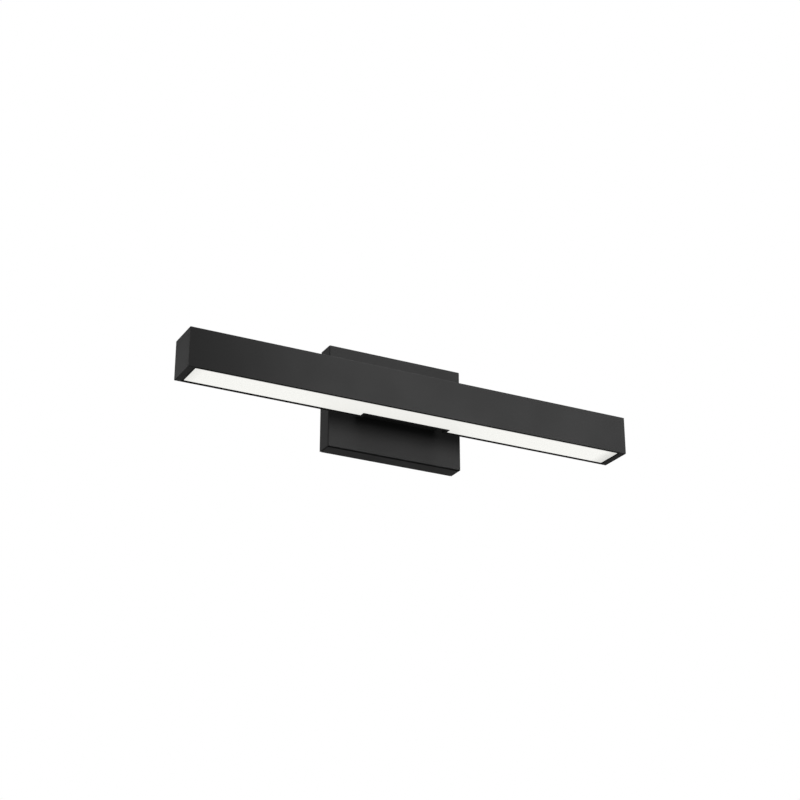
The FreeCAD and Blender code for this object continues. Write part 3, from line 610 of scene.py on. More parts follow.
class VANITY_PG_canopy(bpy.types.PropertyGroup):
    """Sizes of the canopy, its chassis and the arm."""

    cover_sheet: length("Cover sheet", "Thickness of the decorative cover", 1.2)
    cover_bend: length("Cover bend", "Outside radius of the cover's bends", 1.8)
    chassis_sheet: length("Chassis sheet", "Thickness of the chassis", 2.0)
    chassis_bend: length("Chassis bend", "Radius of the chassis's bends", 0.6)
    reveal: length("Reveal", "Width of the shadow gap between the cover and the chassis's flanges", 3.6)
    reveal_depth: length("Reveal depth", "Depth of that shadow gap", 4.0)
    hem: length("Hem", "Height of the chassis's hem above its flange", 6.5)
    arm_wall: length("Arm wall", "Wall of the arm", 2.5)
    arm_edge: length("Arm edge", "Rounding along the arm", 1.2)
    wire_hole: length("Wire hole", "Radius of the wire hole in the bracket", 11.0)
    slot_spacing: length("Slot spacing", "Distance between the box screws", 88.9)
    slot_length: length("Slot length", "End-to-end length of each slot", 12.0)
    slot_width: length("Slot width", "Width of each slot", 4.8)


class VANITY_PG_look(bpy.types.PropertyGroup):
    """Colours and gloss."""

    coat_colour: colour("Coat", "Base colour of the black powder coat", (0.0138, 0.0138, 0.0138))
    coat_roughness: number("Coat roughness", "Roughness of the powder coat", 0.6)
    coat_ior: number("Coat IOR", "Refractive index of the powder coat", 1.22)
    # Painted shade: the canopy's copy of the coat is made darker and less glossy than the bar's
    canopy_shade_share: number("Canopy depth", "Share of colour and sheen that the canopy's coat keeps", 0.87)
    glow_colour: colour("Glow colour", "Colour of the lit diffuser", (1.0, 0.995, 0.955))
    glow: number("Glow", "Brightness of the lit diffuser", 0.585)
    glow_at_ends: number("Glow at the ends", "Brightness at the diffuser's ends, as a share", 0.57)


class VANITY_PG_stage(bpy.types.PropertyGroup):
    """Camera, floor and light."""

    camera_place: bpy.props.FloatVectorProperty(
        name="Camera place", description="Where the camera stands", subtype="TRANSLATION",
        size=3, default=(-0.9305, -1.8400, -0.8668))
    camera_turn: number("Camera turn", "Turn of the camera to the right of +Y", math.radians(27.30),
                        subtype="ANGLE")
    camera_rise: number("Camera rise", "Upward tilt of the camera", math.radians(23.29), subtype="ANGLE")
    lens: number("Lens", "Focal length in millimetres on a 36 mm sensor", 78.2)
    floor_level: number("Floor level", "Height of the floor", -1.4, unit="LENGTH", min=-10.0)
    ambient: number("Ambient", "Strength of the room's diffuse light", 0.63)
    key_power: number("Key power", "Power of the near softbox", 0.98, unit="POWER")
    top_power: number("Top power", "Power of the long lamp above the bar", 1.05, unit="POWER")


# ---- The stage ----
def soft_lamp(name, target, bearing, height, distance, size, power, spread):
    """Rectangular softbox that looks at a point. It stands at a bearing to the right of the front
    and a height above the level, both in degrees, and a grid narrows its beam to the spread."""
    data = bpy.data.lights.new(name, "AREA")
    data.shape, (data.size, data.size_y), data.energy = "RECTANGLE", size, power
    data.spread = math.radians(spread)
    lamp = bpy.data.objects.new(name, data)
    a, b = math.radians(bearing), math.radians(height)
    way = np.array((math.sin(a) * math.cos(b), -math.cos(a) * math.cos(b), math.sin(b)))
    lamp.location = np.array(target) + distance * way
    lamp.rotation_euler = (math.pi / 2 - b, 0, a)
    lamp.visible_camera = False
    bpy.context.scene.collection.objects.link(lamp)


class VANITY_OT_stage(bpy.types.Operator):
    """Camera, pale floor, white surroundings and soft lamps"""

    bl_idname = "vanity.stage"
    bl_label = "Stage"

    def execute(self, context):
        scene, s = context.scene, context.scene.vanity_stage
        data = bpy.data.cameras.new("camera")
        data.lens, data.sensor_width, data.clip_start, data.clip_end = s.lens, 36.0, 0.05, 60.0
        camera = bpy.data.objects.new("camera", data)
        camera.location = s.camera_place
        camera.rotation_euler = (math.pi / 2 + s.camera_rise, 0, -s.camera_turn)
        scene.collection.objects.link(camera)
        scene.camera = camera

        half = 7.0
        mesh = bpy.data.meshes.new("floor")
        corner_points = [(x, y, s.floor_level) for x, y in rectangle(-half, -half, half, half)]
        mesh.from_pydata(corner_points, [], [(0, 1, 2, 3)])
        floor = bpy.data.objects.new("floor", mesh)
        scene.collection.objects.link(floor)
        f = Finish("floor_plaster", ior=1.4)
        speck = f.sway(f.noise(90, 3))
        plaster = f.mix(speck, (0.57, 0.57, 0.565), (0.61, 0.61, 0.605))
        bright = f.mix(speck, (0.83, 0.83, 0.825), (0.87, 0.87, 0.865))
        seen = f.add("LightPath", "Is Camera Ray")
        mesh.materials.append(f.done(f.mix(seen, plaster, bright), 0.8))

        scene.world = bpy.data.worlds.new("studio")
        scene.world.use_nodes = True
        tree = scene.world.node_tree

        def add(kind, *sources):
            """A world node whose first inputs are fed by these outputs."""
            node = tree.nodes.new("ShaderNode" + kind)
            for socket, source in zip(node.inputs, sources):
                tree.links.new(source, socket)
            return node

        room, white = tree.nodes["Background"], add("Background")
        for background in (room, white):
            background.inputs["Color"].default_value = (1, 1, 1, 1)
        room.inputs["Strength"].default_value = s.ambient
        rays = add("LightPath").outputs
        seen = rays["Is Camera Ray"]
        for ray in ("Is Glossy Ray", "Is Transmission Ray"):
            either = add("Math", seen, rays[ray])
            either.operation = "MAXIMUM"
            seen = either.outputs[0]
        mix = add("MixShader", seen, room.outputs[0], white.outputs[0])
        tree.links.new(mix.outputs[0], tree.nodes["World Output"].inputs["Surface"])

        soft_lamp("key_lamp", (0.10, -0.092, -0.005), 23, 7, 0.6, (0.6, 0.5), s.key_power, 32)
        soft_lamp("top_lamp", (0.06, -0.035, 0.0), 0, 82, 0.7, (0.8, 0.12), s.top_power, 40)
        scene.view_settings.view_transform = "Standard"
        return {"FINISHED"}


# ---- The bar ----
def channel_outline(s):
    """Outline (y, z) of the channel, from the inner rear wall down round the rear lip, over the
    outside, and back along the front lip and the ledges. Two points mark the top of the cut-out in
    the rear wall. With it comes the run of points that the cut-out leaves out."""
    (_, f, b), (_, r, t) = BAR_LOW, BAR_HIGH
    ledge, top = t - s.ledge_level, t - s.ledge_level + s.ledge_thickness
    cut = FRAME_HIGH[2] + s.frame_fit
    half = [(r - s.wall, b + s.lip), (r - s.rim, b + s.lip), (r - s.rim, b + s.groove_depth),
            (r - s.rim + s.groove, b + s.groove_depth), (r - s.rim + s.groove, b), (r, b)]
    inner = [(s.wall, ledge), (s.wall + s.ledge_width, ledge), (s.wall + s.ledge_width, top),
             (s.wall, top), (s.wall, t - s.wall)]
    points = half + [(r, t), (f, t), (f, b)] + [(f + r - y, z) for y, z in half[4::-1]]
    points += [(f + y, z) for y, z in inner] + [(r - y, z) for y, z in inner[::-1]]
    radii = [s.fine_edge] * 5 + [s.edge] * 4 + [s.fine_edge] * (len(points) - 9)
    corner = 5
    outline = np.insert(rounded_outline(points, radii), 6 * corner, (r, cut), 0)
    return np.append(outline, [(r - s.wall, cut)], 0), np.arange(6 * corner)


class VANITY_OT_housing(bpy.types.Operator):
    """Extruded channel with its rear cut-out and countersunk holes"""

    bl_idname = "vanity.housing"
    bl_label = "Bar housing"

    def execute(self, context):
        s = context.scene.vanity_bar
        outline, dropped = channel_outline(s)
        skin = extrusion(outline, BAR_LOW[0], BAR_HIGH[0], "X", s.fine_edge * 0.8,
                         NOTCH_HALF + s.frame_fit, dropped)
        well = turned(mm(0, 2.85, 2.85, 1.55, 1.55, 0), mm(1, 1, 0, -1.3, -4, -4))
        wells = stand(well, [(x, BAR_HIGH[1], z) for x, y, z in middles("end_cap_screws")], BACK)
        new_piece("bar_channel", [skin], ["bar_housing"], "bar_black", "bar_coat", cutters=wells)
        return {"FINISHED"}


class VANITY_OT_end_caps(bpy.types.Operator):
    """Plugs that close the channel's ends"""

    bl_idname = "vanity.end_caps"
    bl_label = "End caps"

    def execute(self, context):
        s = context.scene.vanity_bar
        fit = 0.1 * MM
        f, r = BAR_LOW[1] + s.wall + fit, BAR_HIGH[1] - s.wall - fit
        b, t = CAP_LOW[2], CAP_HIGH[2]
        lip, ledge = BAR_LOW[2] + s.lip + fit, BAR_HIGH[2] - s.ledge_level - fit
        foot, hip = s.rim - s.wall - s.groove, b + s.groove_depth - fit
        above = ledge + s.ledge_thickness + 2 * fit
        side = [(foot, b), (foot, hip), (s.rim - s.wall, hip), (s.rim - s.wall, lip), (0, lip), (0, ledge),
                (s.ledge_width, ledge), (s.ledge_width, above), (0, above), (0, t)]
        points = [(f + y, z) for y, z in side] + [(r - y, z) for y, z in side[::-1]]
        outline = rounded_outline(points, s.fine_edge)
        thickness = CAP_HIGH[0] - CAP_LOW[0]
        for name, low in (("left", -CAP_HIGH[0]), ("right", CAP_LOW[0])):
            skin = extrusion(outline, low, low + thickness, "X", s.fine_edge * 0.8)
            new_piece("end_plug_" + name, [skin], ["end_cap_" + name], "cap_black", "cap_coat")
        return {"FINISHED"}


class VANITY_OT_diffuser(bpy.types.Operator):
    """Opal diffuser with its notch and snap legs"""

    bl_idname = "vanity.diffuser"
    bl_label = "Diffuser"

    def execute(self, context):
        s = context.scene.vanity_bar
        f, r = BAR_LOW[1] + s.rim + s.diffuser_fit, BAR_HIGH[1] - s.rim - s.diffuser_fit
        b, t = BAR_LOW[2] + s.diffuser_recess, OPAL_HIGH[2]
        top, lip = b + s.diffuser_thickness, BAR_LOW[2] + s.lip
        back = FRAME_LOW[1] - s.diffuser_fit
        half = [(r, b), (r, lip), (r + s.hook, lip), (r + s.hook, lip + 0.8 * MM), (r, t),
                (r - s.leg, t), (r - s.leg, top)]
        points = half + [(f + r - y, z) for y, z in half[::-1]]
        radii = np.full(14, 0.12 * MM)
        radii[[0, -1]] = 0.45 * MM
        outline = np.insert(rounded_outline(points, radii), 35, (back, top), 0)
        outline = np.append(outline, [(back, b)], 0)
        end = CAP_LOW[0] - s.diffuser_gap
        skin = extrusion(outline, -end, end, "X", 0.1 * MM, NOTCH_HALF + s.diffuser_fit, np.arange(35))
        opal_glow("opal_glow", context.scene.vanity_look)
        new_piece("opal_diffuser", [skin], ["diffuser"], "opal", "opal_glow")
        return {"FINISHED"}


# ---- The arm ----
def cable_hole(front, depth):
    """Cutter for the cable's way through a wall, from just before its front."""
    return rod((CABLE_X, front - MM, CABLE_Z), BACK, 6.0 * MM, depth)


class VANITY_OT_arm(bpy.types.Operator):
    """Cast frame in the bar and the short tube between it and the canopy"""

    bl_idname = "vanity.arm"
    bl_label = "Arm"

    def execute(self, context):
        bar, s = context.scene.vanity_bar, context.scene.vanity_canopy
        low, high = FRAME_LOW.copy(), FRAME_HIGH.copy()
        low[0], high[0] = -NOTCH_HALF, NOTCH_HALF
        body = block(low, high, 0.4 * MM, 0.3 * MM)
        back = BAR_HIGH[1] - bar.wall
        wings = block((FRAME_LOW[0], back - 3.0 * MM, BAR_LOW[2] + bar.lip + 8.0 * MM),
                      (FRAME_HIGH[0], back, FRAME_HIGH[2]), 0.4 * MM, 0.3 * MM, "Y")
        pocket_low = (ARM_LOW[0] - bar.frame_fit, ARM_LOW[1], low[2] - 9 * MM)
        pocket_high = (ARM_HIGH[0] + bar.frame_fit, high[1] + 9 * MM, ARM_HIGH[2] + bar.frame_fit)
        pocket = block(pocket_low, pocket_high, 0.6 * MM, 0.4 * MM)
        new_piece("cast_frame", [body], ["arm_frame"], "frame_black", "cast_coat", added=[wings],
                  cutters=[pocket, cable_hole(low[1], 6.0 * MM)])

        (x0, y0, z0), (x1, y1, z1) = ARM_LOW, ARM_HIGH
        wall = s.arm_wall
        outer = rounded_outline(rectangle(x0, z0, x1, z1), s.arm_edge, 5)
        inner = rounded_outline(rectangle(x0 + wall, z0 + wall, x1 - wall, z1 - wall), 0.5 * MM, 5)
        skin = tube(outer, inner, y0, y1, "Y", 0.2 * MM)
        level = mm(0, 0, 0.2, -0.2, 0, 0) + np.array([0, 0, 0, 1, 1, 1]) * (y1 - y0)
        port = turned(mm(2.0, 4.0, 4.2, 4.2, 4.0, 2.0), level, join=True)
        inside = 6 * MM
        places = [(x, y0, z) for x in (x0 + inside, x1 - inside) for z in (z0 + inside, z1 - inside)]
        new_piece("arm_tube", [skin] + stand(port, places, BACK), ["arm"], "arm_black", "arm_coat")
        return {"FINISHED"}


# ---- The canopy ----
class VANITY_OT_cover(bpy.types.Operator):
    """Folded cover of the canopy"""

    bl_idname = "vanity.cover"
    bl_label = "Canopy cover"

    def execute(self, context):
        s = context.scene.vanity_canopy
        (x0, y0, z0), (x1, y1, z1) = COVER_LOW, COVER_HIGH
        w, inner = s.cover_sheet, s.cover_bend - s.cover_sheet
        points = [(x0, y1), (x0, y0), (x1, y0), (x1, y1),
                  (x1 - w, y1), (x1 - w, y0 + w), (x0 + w, y0 + w), (x0 + w, y1)]
        fine = 0.45 * w
        radii = [fine, s.cover_bend, s.cover_bend, fine, fine, inner, inner, fine]
        skin = extrusion(rounded_outline(points, radii, 6), z0, z1, "Z", 0.4 * w)
        # Its coat is the darker, less glossy copy of the powder coat, which paints shade on the canopy
        new_piece("canopy_skin", [skin], ["canopy_cover"], "canopy_black", "canopy_coat",
                  cutters=[cable_hole(y0, 4.0 * MM)])
        return {"FINISHED"}


class VANITY_OT_chassis(bpy.types.Operator):
    """Steel channel behind the cover, with its hem"""

    bl_idname = "vanity.chassis"
    bl_label = "Canopy chassis"

    def execute(self, context):
        s = context.scene.vanity_canopy
        (x0, y0, z0), (x1, y1, z1) = CHASSIS_LOW, CHASSIS_HIGH
        w, fine, step, rise = s.chassis_sheet, 0.3 * MM, s.reveal, s.reveal_depth
        hem, floor = z0 + w + s.hem, z0 + w
        low, high, web, back = z0 + rise, z1 - rise, y0 + step, y0 + step + w
        points = [(y1 - w, floor), (y1 - w, hem), (y1, hem), (y1, z0), (web, z0), (web, low),
                  (y0, low), (y0, high), (web, high), (web, z1), (y1, z1), (y1, z1 - w),
                  (back, z1 - w), (back, high - w), (y0 + w, high - w), (y0 + w, floor + rise),
                  (back, floor + rise), (back, floor)]
        radii = [fine] * 4 + [s.chassis_bend] * 6 + [fine] * 2 + [s.chassis_bend] * 6
        outline = np.insert(rounded_outline(points, radii, 6), 21, (y1, floor), 0)
        outline = np.append(outline, [(y1 - w - 2 * fine, floor)], 0)
        skin = extrusion(outline, x0, x1, "X", 0.25 * MM, BRACKET_HIGH[0], np.arange(21), outside=True)
        new_piece("canopy_channel", [skin], ["canopy_chassis"], "chassis_black", "chassis_coat",
                  cutters=[cable_hole(y0, 5.0 * MM)])
        return {"FINISHED"}


class VANITY_OT_bracket(bpy.types.Operator):
    """Wall bracket with its slots, wire hole, ear and hook"""

    bl_idname = "vanity.bracket"
    bl_label = "Wall bracket"

    def execute(self, context):
        s = context.scene.vanity_canopy
        (x0, y0, z0), (x1, y1, z1) = BRACKET_LOW, BRACKET_HIGH
        w, fine = 2.0 * MM, 0.3 * MM
        hook, shoulder, neck = -56.0 * MM, z1 - 15.0 * MM, 36.0 * MM
        points = [(y1 - w, z1 - w), (y0, z1 - w), (y0, z1), (y1, z1), (y1, hook), (y1 - w, hook),
                  (y1 - w, z0), (y1 - 2 * w, z0), (y1 - 2 * w, hook + w), (y1 - w, hook + w)]
        radii = [fine, fine, fine, 2.2 * MM, 0.8 * MM, fine, fine, fine, 0.8 * MM, fine]
        outline = np.insert(rounded_outline(points, radii, 5), 24, (y1, shoulder), 0)
        outline = np.append(outline, [(y1 - w, shoulder)], 0)
        skin = extrusion(outline, x0, x1, "X", fine * 0.8, neck, np.arange(24), outside=True)
        holes = [rod((0, y1 - w - MM, 0), BACK, s.wire_hole, w + 2 * MM, 48)]
        a, b = s.slot_length / 2, s.slot_width / 2
        for x in (-s.slot_spacing / 2, s.slot_spacing / 2):
            outline = rounded_outline(rectangle(x - a, -b, x + a, b), b * 0.999, 8)
            holes.append(extrusion(outline, y1 - w - MM, y1 + MM, "Y"))
        new_piece("bracket_plate", [skin], ["wall_bracket"], "bracket_zinc", cutters=holes)
        return {"FINISHED"}


# ---- Lights and wiring ----
LEAD = 0.8 * MM
LEAD_Y = (DRIVER_LOW[1] + DRIVER_HIGH[1]) / 2 + 1.0 * MM
EAR = 8.0 * MM
PLUG_LOW, PLUG_HIGH = corners("board_plug")
SOCKET_LOW, SOCKET_HIGH = corners("board_socket")
LINK_LOW, LINK_HIGH = corners("board_link")
LUG_LOW, LUG_HIGH = corners("ground_lug")


def seats(node, axis, level):
    """Places of a node's screws, all put at one level on an axis."""
    places = middles(node)
    for place in places:
        place[axis] = level
    return places


def screw_holes(node, direction, radius, depth, start):
    """Cutters of one radius and depth where a node's screws are, from a level along their axis."""
    return [rod(place, direction, radius, depth, 24) for place in seats(node, direction.index(1), start)]


def lead_hole(place, direction, depth=4 * MM):
    """Cutter for the end of a lead, from a place inside the piece."""
    return rod(place, direction, LEAD, depth, 20)


class VANITY_OT_lights(bpy.types.Operator):
    """Tray, circuit boards, LEDs and connectors"""

    bl_idname = "vanity.lights"
    bl_label = "Lights"

    def execute(self, context):
        (x0, y0, z0), (x1, y1, z1) = TRAY_LOW, TRAY_HIGH
        middle, half = (y0 + y1) / 2, (y1 - y0) / 2
        side = [(-half, z0), (-half, z1), (half, z1), (half, z0)]
        for a in (0.62 * half, -0.62 * half):
            side += [(a + 0.9 * MM, z0), (a + 0.5 * MM, z0 + 0.5 * MM),
                     (a - 0.5 * MM, z0 + 0.5 * MM), (a - 0.9 * MM, z0)]
        outline = rounded_outline(np.array(side) + (middle, 0), 0.2 * MM, 3)
        holes = screw_holes("tray_screws", UP, 1.6 * MM, 4 * MM, z0 - MM)
        holes += screw_holes("board_screws", UP, 1.1 * MM, 4 * MM, z0 - MM)
        new_piece("light_tray", [extrusion(outline, x0, x1, "X", 0.16 * MM)], ["led_tray"],
                  "tray_aluminium", cutters=holes)

        for name in ("left", "right"):
            low, high = corners("led_board_" + name)
            board = block(low, high, 0.8 * MM, 0.12 * MM)
            holes = [hole for hole in screw_holes("board_screws", UP, 1.45 * MM, 4 * MM, low[2] - MM)
                     if low[0] < hole[0][:, 0].mean() < high[0]]
            new_piece("light_board_" + name, [board], ["led_board_" + name], "board_white", cutters=holes)
            places = np.array(middles("led_chips_" + name))
            low, high = corners("led_chips_" + name)
            long = places[0][0] - low[0]
            wide, tall = (high[1] - low[1]) / 2, high[2] - low[2]
            sizes = np.array([1, 1, 0.94, 0.8, 0.74])[:, None] * (long, wide)
            levels = np.array([0.0, -0.75, -1.0, -1.0, -0.8]) * tall
            points, faces = loft([on_axis(np.array(rectangle(-a, -b, a, b)), level, "Z")
                                  for (a, b), level in zip(sizes, levels)])
            chips = [(points + (place[0], place[1], high[2]), faces) for place in places]
            new_piece("light_chips_" + name, chips, ["led_chips_" + name], "led_phosphor", sharp=20)

        link = block(LINK_LOW, LINK_HIGH, 0.5 * MM, 0.25 * MM)
        shallow = 0.5 * MM
        slots = [block((x - 0.8 * MM, LINK_LOW[1] + 0.8 * MM, LINK_LOW[2] - MM),
                       (x + 0.8 * MM, LINK_HIGH[1] - 0.8 * MM, LINK_LOW[2] + shallow), 0.2 * MM)
                 for x in (-4.2 * MM, 4.2 * MM)]
        new_piece("link_body", [link], ["board_link"], "connector_white", cutters=slots)
        (x0, y0, z0), (x1, y1, z1) = SOCKET_LOW, SOCKET_HIGH
        keys = [block((x1 - 3 * MM, y - 0.5 * MM, z0 - MM), (x1 + MM, y + 0.5 * MM, z0 + shallow), 0.2 * MM)
                for y in (y0 + 1.2 * MM, y1 - 1.2 * MM)]
        socket = block(SOCKET_LOW, SOCKET_HIGH, 0.4 * MM, 0.2 * MM)
        new_piece("socket_body", [socket], ["board_socket"], "connector_white", cutters=keys)
        (x0, y0, z0), (x1, y1, z1) = PLUG_LOW, PLUG_HIGH
        centre = (PLUG_LOW + PLUG_HIGH) / 2
        bores = [lead_hole((x1 - 2 * MM, y, centre[2]), RIGHT, 3 * MM)
                 for y in (centre[1] - 1.2 * MM, centre[1] + 1.2 * MM)]
        grips = [block((x, y0 - MM, z0 - MM), (x + 0.5 * MM, y1 + MM, z0 + 0.25 * MM), 0.1 * MM)
                 for x in x1 - mm(3.6, 2.7, 1.8)]
        plug = block(PLUG_LOW, PLUG_HIGH, 0.4 * MM, 0.2 * MM)
        new_piece("plug_body", [plug], ["board_plug"], "connector_white", cutters=bores + grips)
        return {"FINISHED"}


class VANITY_OT_supply(bpy.types.Operator):
    """Driver, terminal block, ground lug and grommets"""

    bl_idname = "vanity.supply"
    bl_label = "Supply"

    def execute(self, context):
        (x0, y0, z0), (x1, y1, z1) = DRIVER_LOW, DRIVER_HIGH
        x0, x1 = x0 + EAR, x1 - EAR
        middle, seam = (z0 + z1) / 2, y1 - 4.2 * MM
        outline = rounded_outline(rectangle(x0, z0, x1, z1), 2.0 * MM, 5)
        lid = seam + 0.6 * MM
        levels = [y0, y0 + 0.4 * MM, seam, seam, lid, lid, y1 - MM, y1 - 0.3 * MM, y1]
        case = stack(outline, levels, mm(0.4, 0, 0, 0.5, 0.5, 0.05, 0.05, 0.3, 1.0))
        ears, ribs = [], []
        for x, away in ((x0, -1), (x1, 1)):
            a, b = sorted((x - away * 2 * MM, x + away * EAR))
            ears.append(block((a, y0, middle - 8 * MM), (b, y0 + 1.5 * MM, middle + 8 * MM),
                              3 * MM, 0.25 * MM, "Y", 6))
            a, b = sorted((x - away * MM, x + away * 5 * MM))
            ribs += [block((a, y0 + MM, z - 0.6 * MM), (b, y0 + 3.2 * MM, z + 0.6 * MM), 0.4 * MM)
                     for z in (middle - 6.8 * MM, middle + 6.8 * MM)]
        cut = screw_holes("driver_screws", BACK, 1.6 * MM, 4 * MM, y0 - MM)
        panel = rounded_outline(rectangle(x0 + 12 * MM, z0 + 7 * MM, x1 - 12 * MM, z1 - 7 * MM), 2 * MM, 5)
        cut.append(stack(panel, [y1 - 0.3 * MM, y1 + MM], [0, 0]))
        cut += [rod((x, y1 - 1.5 * MM, z), BACK, 1.5 * MM, 3 * MM, 24)
                for x in (x0 + 5 * MM, x1 - 5 * MM) for z in (z0 + 5 * MM, z1 - 5 * MM)]
        cut += [lead_hole((x0 + 2 * MM, LEAD_Y, middle + z), LEFT) for z in (-8 * MM, 0.0)]
        cut += [lead_hole((x1 - 2 * MM, LEAD_Y, middle + z), RIGHT) for z in (-1.2 * MM, 1.2 * MM)]
        new_piece("driver_case", [case], ["led_driver"], "driver_case", added=ears + ribs, cutters=cut)

        (x0, y0, z0), (x1, y1, z1) = BLOCK_LOW, BLOCK_HIGH
        x, pitch = (x0 + x1) / 2, (z1 - z0 - 8 * MM) / 4
        outline = rounded_outline(rectangle(x0, z0, x1, z1), 0.8 * MM)
        body = stack(outline, [y0, y0 + 2 * MM, y0 + 2 * MM, y1 - 0.5 * MM, y1],
                     mm(0, 0, 0.4, 0.4, 0.7))
        poles = z0 + 4 * MM + pitch * np.arange(1, 4)
        funnel = turned(mm(0, 1.7, 1.7, 2.5, 2.5, 0), mm(-8, -8, -1.2, 0, 1, 1), 24)
        cut = []
        for z in poles:
            cut += stand(funnel, [(x, y1, z)], BACK)
            cut += [rod((a, y1 - 2.5 * MM, z), BACK, 1.3 * MM, 4 * MM, 20)
                    for a in (x - 6.5 * MM, x + 6.5 * MM)]
        cut += [block((x0 - MM, y1 - 0.9 * MM, z - 0.35 * MM), (x1 + MM, y1 + MM, z + 0.35 * MM), 0.1 * MM)
                for z in (*(poles - pitch / 2), poles[-1] + pitch / 2)]
        cut += screw_holes("terminal_block_screws", BACK, 1.6 * MM, 16 * MM, y0 - MM)
        cut += [lead_hole((x1 - 2 * MM, LEAD_Y, middle + z), RIGHT) for z in (-4 * MM, 4 * MM)]
        cut.append(lead_hole((x0 + (x1 - x0) / 4, LEAD_Y, z0 - MM), UP, 3 * MM))
        new_piece("block_body", [body], ["terminal_block"], "block_cream", cutters=cut)

        x, y, z = LUG_HIGH[0] - 4 * MM, LUG_HIGH[1], (LUG_LOW[2] + LUG_HIGH[2]) / 2
        eye = turned(mm(2.2, 3.85, 4.0, 4.0, 3.85, 2.2),
                     mm(0, 0, 0.12, 0.68, 0.8, 0.8), 40, join=True)
        neck = block((LUG_LOW[0] + 0.5 * MM, y - 0.8 * MM, z - 1.6 * MM),
                     (x - 2.8 * MM, y, z + 1.6 * MM), 0.25 * MM)
        squeeze = np.ones((9, 32))
        squeeze[2:5] = 1 - np.array([0.05, 0.16, 0.05])[:, None] * np.cos(np.arange(32) / 32 * TURN) ** 4
        barrel = turned(mm(0.8, 1.5, 1.6, 1.6, 1.6, 1.6, 1.5, 0.8, 0.8),
                        mm(0, 0, 1.2, 2.3, 3.4, 4.6, 5.0, 5.0, 2.5), 32, squeeze, True)
        new_piece("lug_ring", stand(eye, [(x, y, z)], FRONT), ["ground_lug"], "lug_tin",
                  added=[neck, *stand(barrel, [(LUG_LOW[0], y - 1.6 * MM, z)], RIGHT)])

        flange, rim, lip = 1.0 * MM, 8.0 * MM, 0.45 * MM
        depth, shrink = rounding(lip)
        radius = [3.2 * MM, 3.5 * MM, *(rim - shrink), *(rim - depth), 6.2 * MM, 5.9 * MM]
        height = [0.3 * MM, 0.0, *depth, *(flange - shrink), flange, flange + 0.2 * MM]
        for node in ("front_grommet", "rear_grommet"):
            low, high = corners(node)
            other = [high[1] - low[1] - h for h in height[::-1]]
            skin = turned(radius + radius[::-1], height + other, 40, join=True)
            new_piece(node + "_skin", stand(skin, [(CABLE_X, low[1], CABLE_Z)], BACK), [node],
                      "grommet_rubber", sharp=50)
        return {"FINISHED"}


class VANITY_OT_leads(bpy.types.Operator):
    """Mains, output and ground leads"""

    bl_idname = "vanity.leads"
    bl_label = "Leads"

    def execute(self, context):
        middle = (DRIVER_LOW[2] + DRIVER_HIGH[2]) / 2
        left, right = DRIVER_LOW[0] + EAR, DRIVER_HIGH[0] - EAR
        entry, pitch = 2 * MM, 1.2 * MM
        plug = (PLUG_LOW + PLUG_HIGH) / 2
        fall = 70 * MM
        mains, output = [], []
        for z in (middle - 4 * MM, middle + 4 * MM):
            mains.append([(BLOCK_HIGH[0] - entry, LEAD_Y, z), (BLOCK_HIGH[0] + 6.7 * MM, LEAD_Y, z),
                          (left - 6.7 * MM, LEAD_Y, z - 4 * MM), (left + entry, LEAD_Y, z - 4 * MM)])
        for s in (-pitch, pitch):
            low, row = CABLE_Z - s, plug[1] - s
            behind = [(right - entry, middle + s), (right + 6 * MM, middle + s), (fall + s, middle + s),
                      (fall + s + 0.3 * MM, middle - 12 * MM), (fall + s - 0.3 * MM, 5 * MM),
                      (fall + s, low), (fall - 14 * MM, low - 0.2 * MM), (CABLE_X + 12 * MM, low)]
            through = [(LEAD_Y, low), (LEAD_Y - 7 * MM, low), (ARM_LOW[1] - 6 * MM, low), (row, low),
                       (row, plug[2])]
            output.append([(x, LEAD_Y, z) for x, z in behind] + [(CABLE_X, y, z) for y, z in through]
                          + [(PLUG_HIGH[0] - entry, row, plug[2])])
        x, z = BLOCK_LOW[0] + (BLOCK_HIGH[0] - BLOCK_LOW[0]) / 4, (LUG_LOW[2] + LUG_HIGH[2]) / 2
        end, deep = LUG_LOW[0], LUG_HIGH[1] - 1.6 * MM
        ground = [[(x, LEAD_Y, BLOCK_LOW[2] + entry), (x, LEAD_Y, z + 20 * MM), (x, LEAD_Y, z),
                   (end - 20 * MM, LEAD_Y, z), (end - 10 * MM, deep, z), (end + entry, deep, z)]]
        for name, node, slot, routes in (("mains_pair", "mains_leads", "lead_mains", mains),
                                         ("output_pair", "output_leads", "lead_output", output),
                                         ("ground_wire", "ground_lead", "lead_green", ground)):
            skins = [lead_skin(route) for route in routes]
            which = np.repeat(np.arange(len(skins)), [len(points) for points, faces in skins])
            new_piece(name, skins, [node], slot, lead=which, sharp=50)
        return {"FINISHED"}


# ---- Screws ----
# shank radius, head radius, head height and pitch in millimetres
LARGE, SMALL, TINY = (2.0, 3.6, 2.5, 0.7), (1.5, 2.8, 2.0, 0.5), (1.25, 2.2, 1.2, 0.45)
SCREWS = (
    # node, slot, size, way in
    ("end_cap_screws", "screw_black", SMALL, FRONT),
    ("arm_frame_screws", "screw_black", LARGE, FRONT),
    ("arm_front_screws", "screw_zinc", LARGE, BACK),
    ("arm_rear_screws", "screw_zinc", LARGE, FRONT),
    ("canopy_screws", "screw_black", LARGE, DOWN),
    ("ground_screw", "screw_green", LARGE, BACK),
    ("driver_screws", "screw_zinc", SMALL, FRONT),
    ("terminal_block_screws", "screw_zinc", SMALL, FRONT),
    ("tray_screws", "screw_zinc", SMALL, UP),
    ("board_screws", "screw_zinc", TINY, UP),
)
COUNTERSUNK = "end_cap_screws"


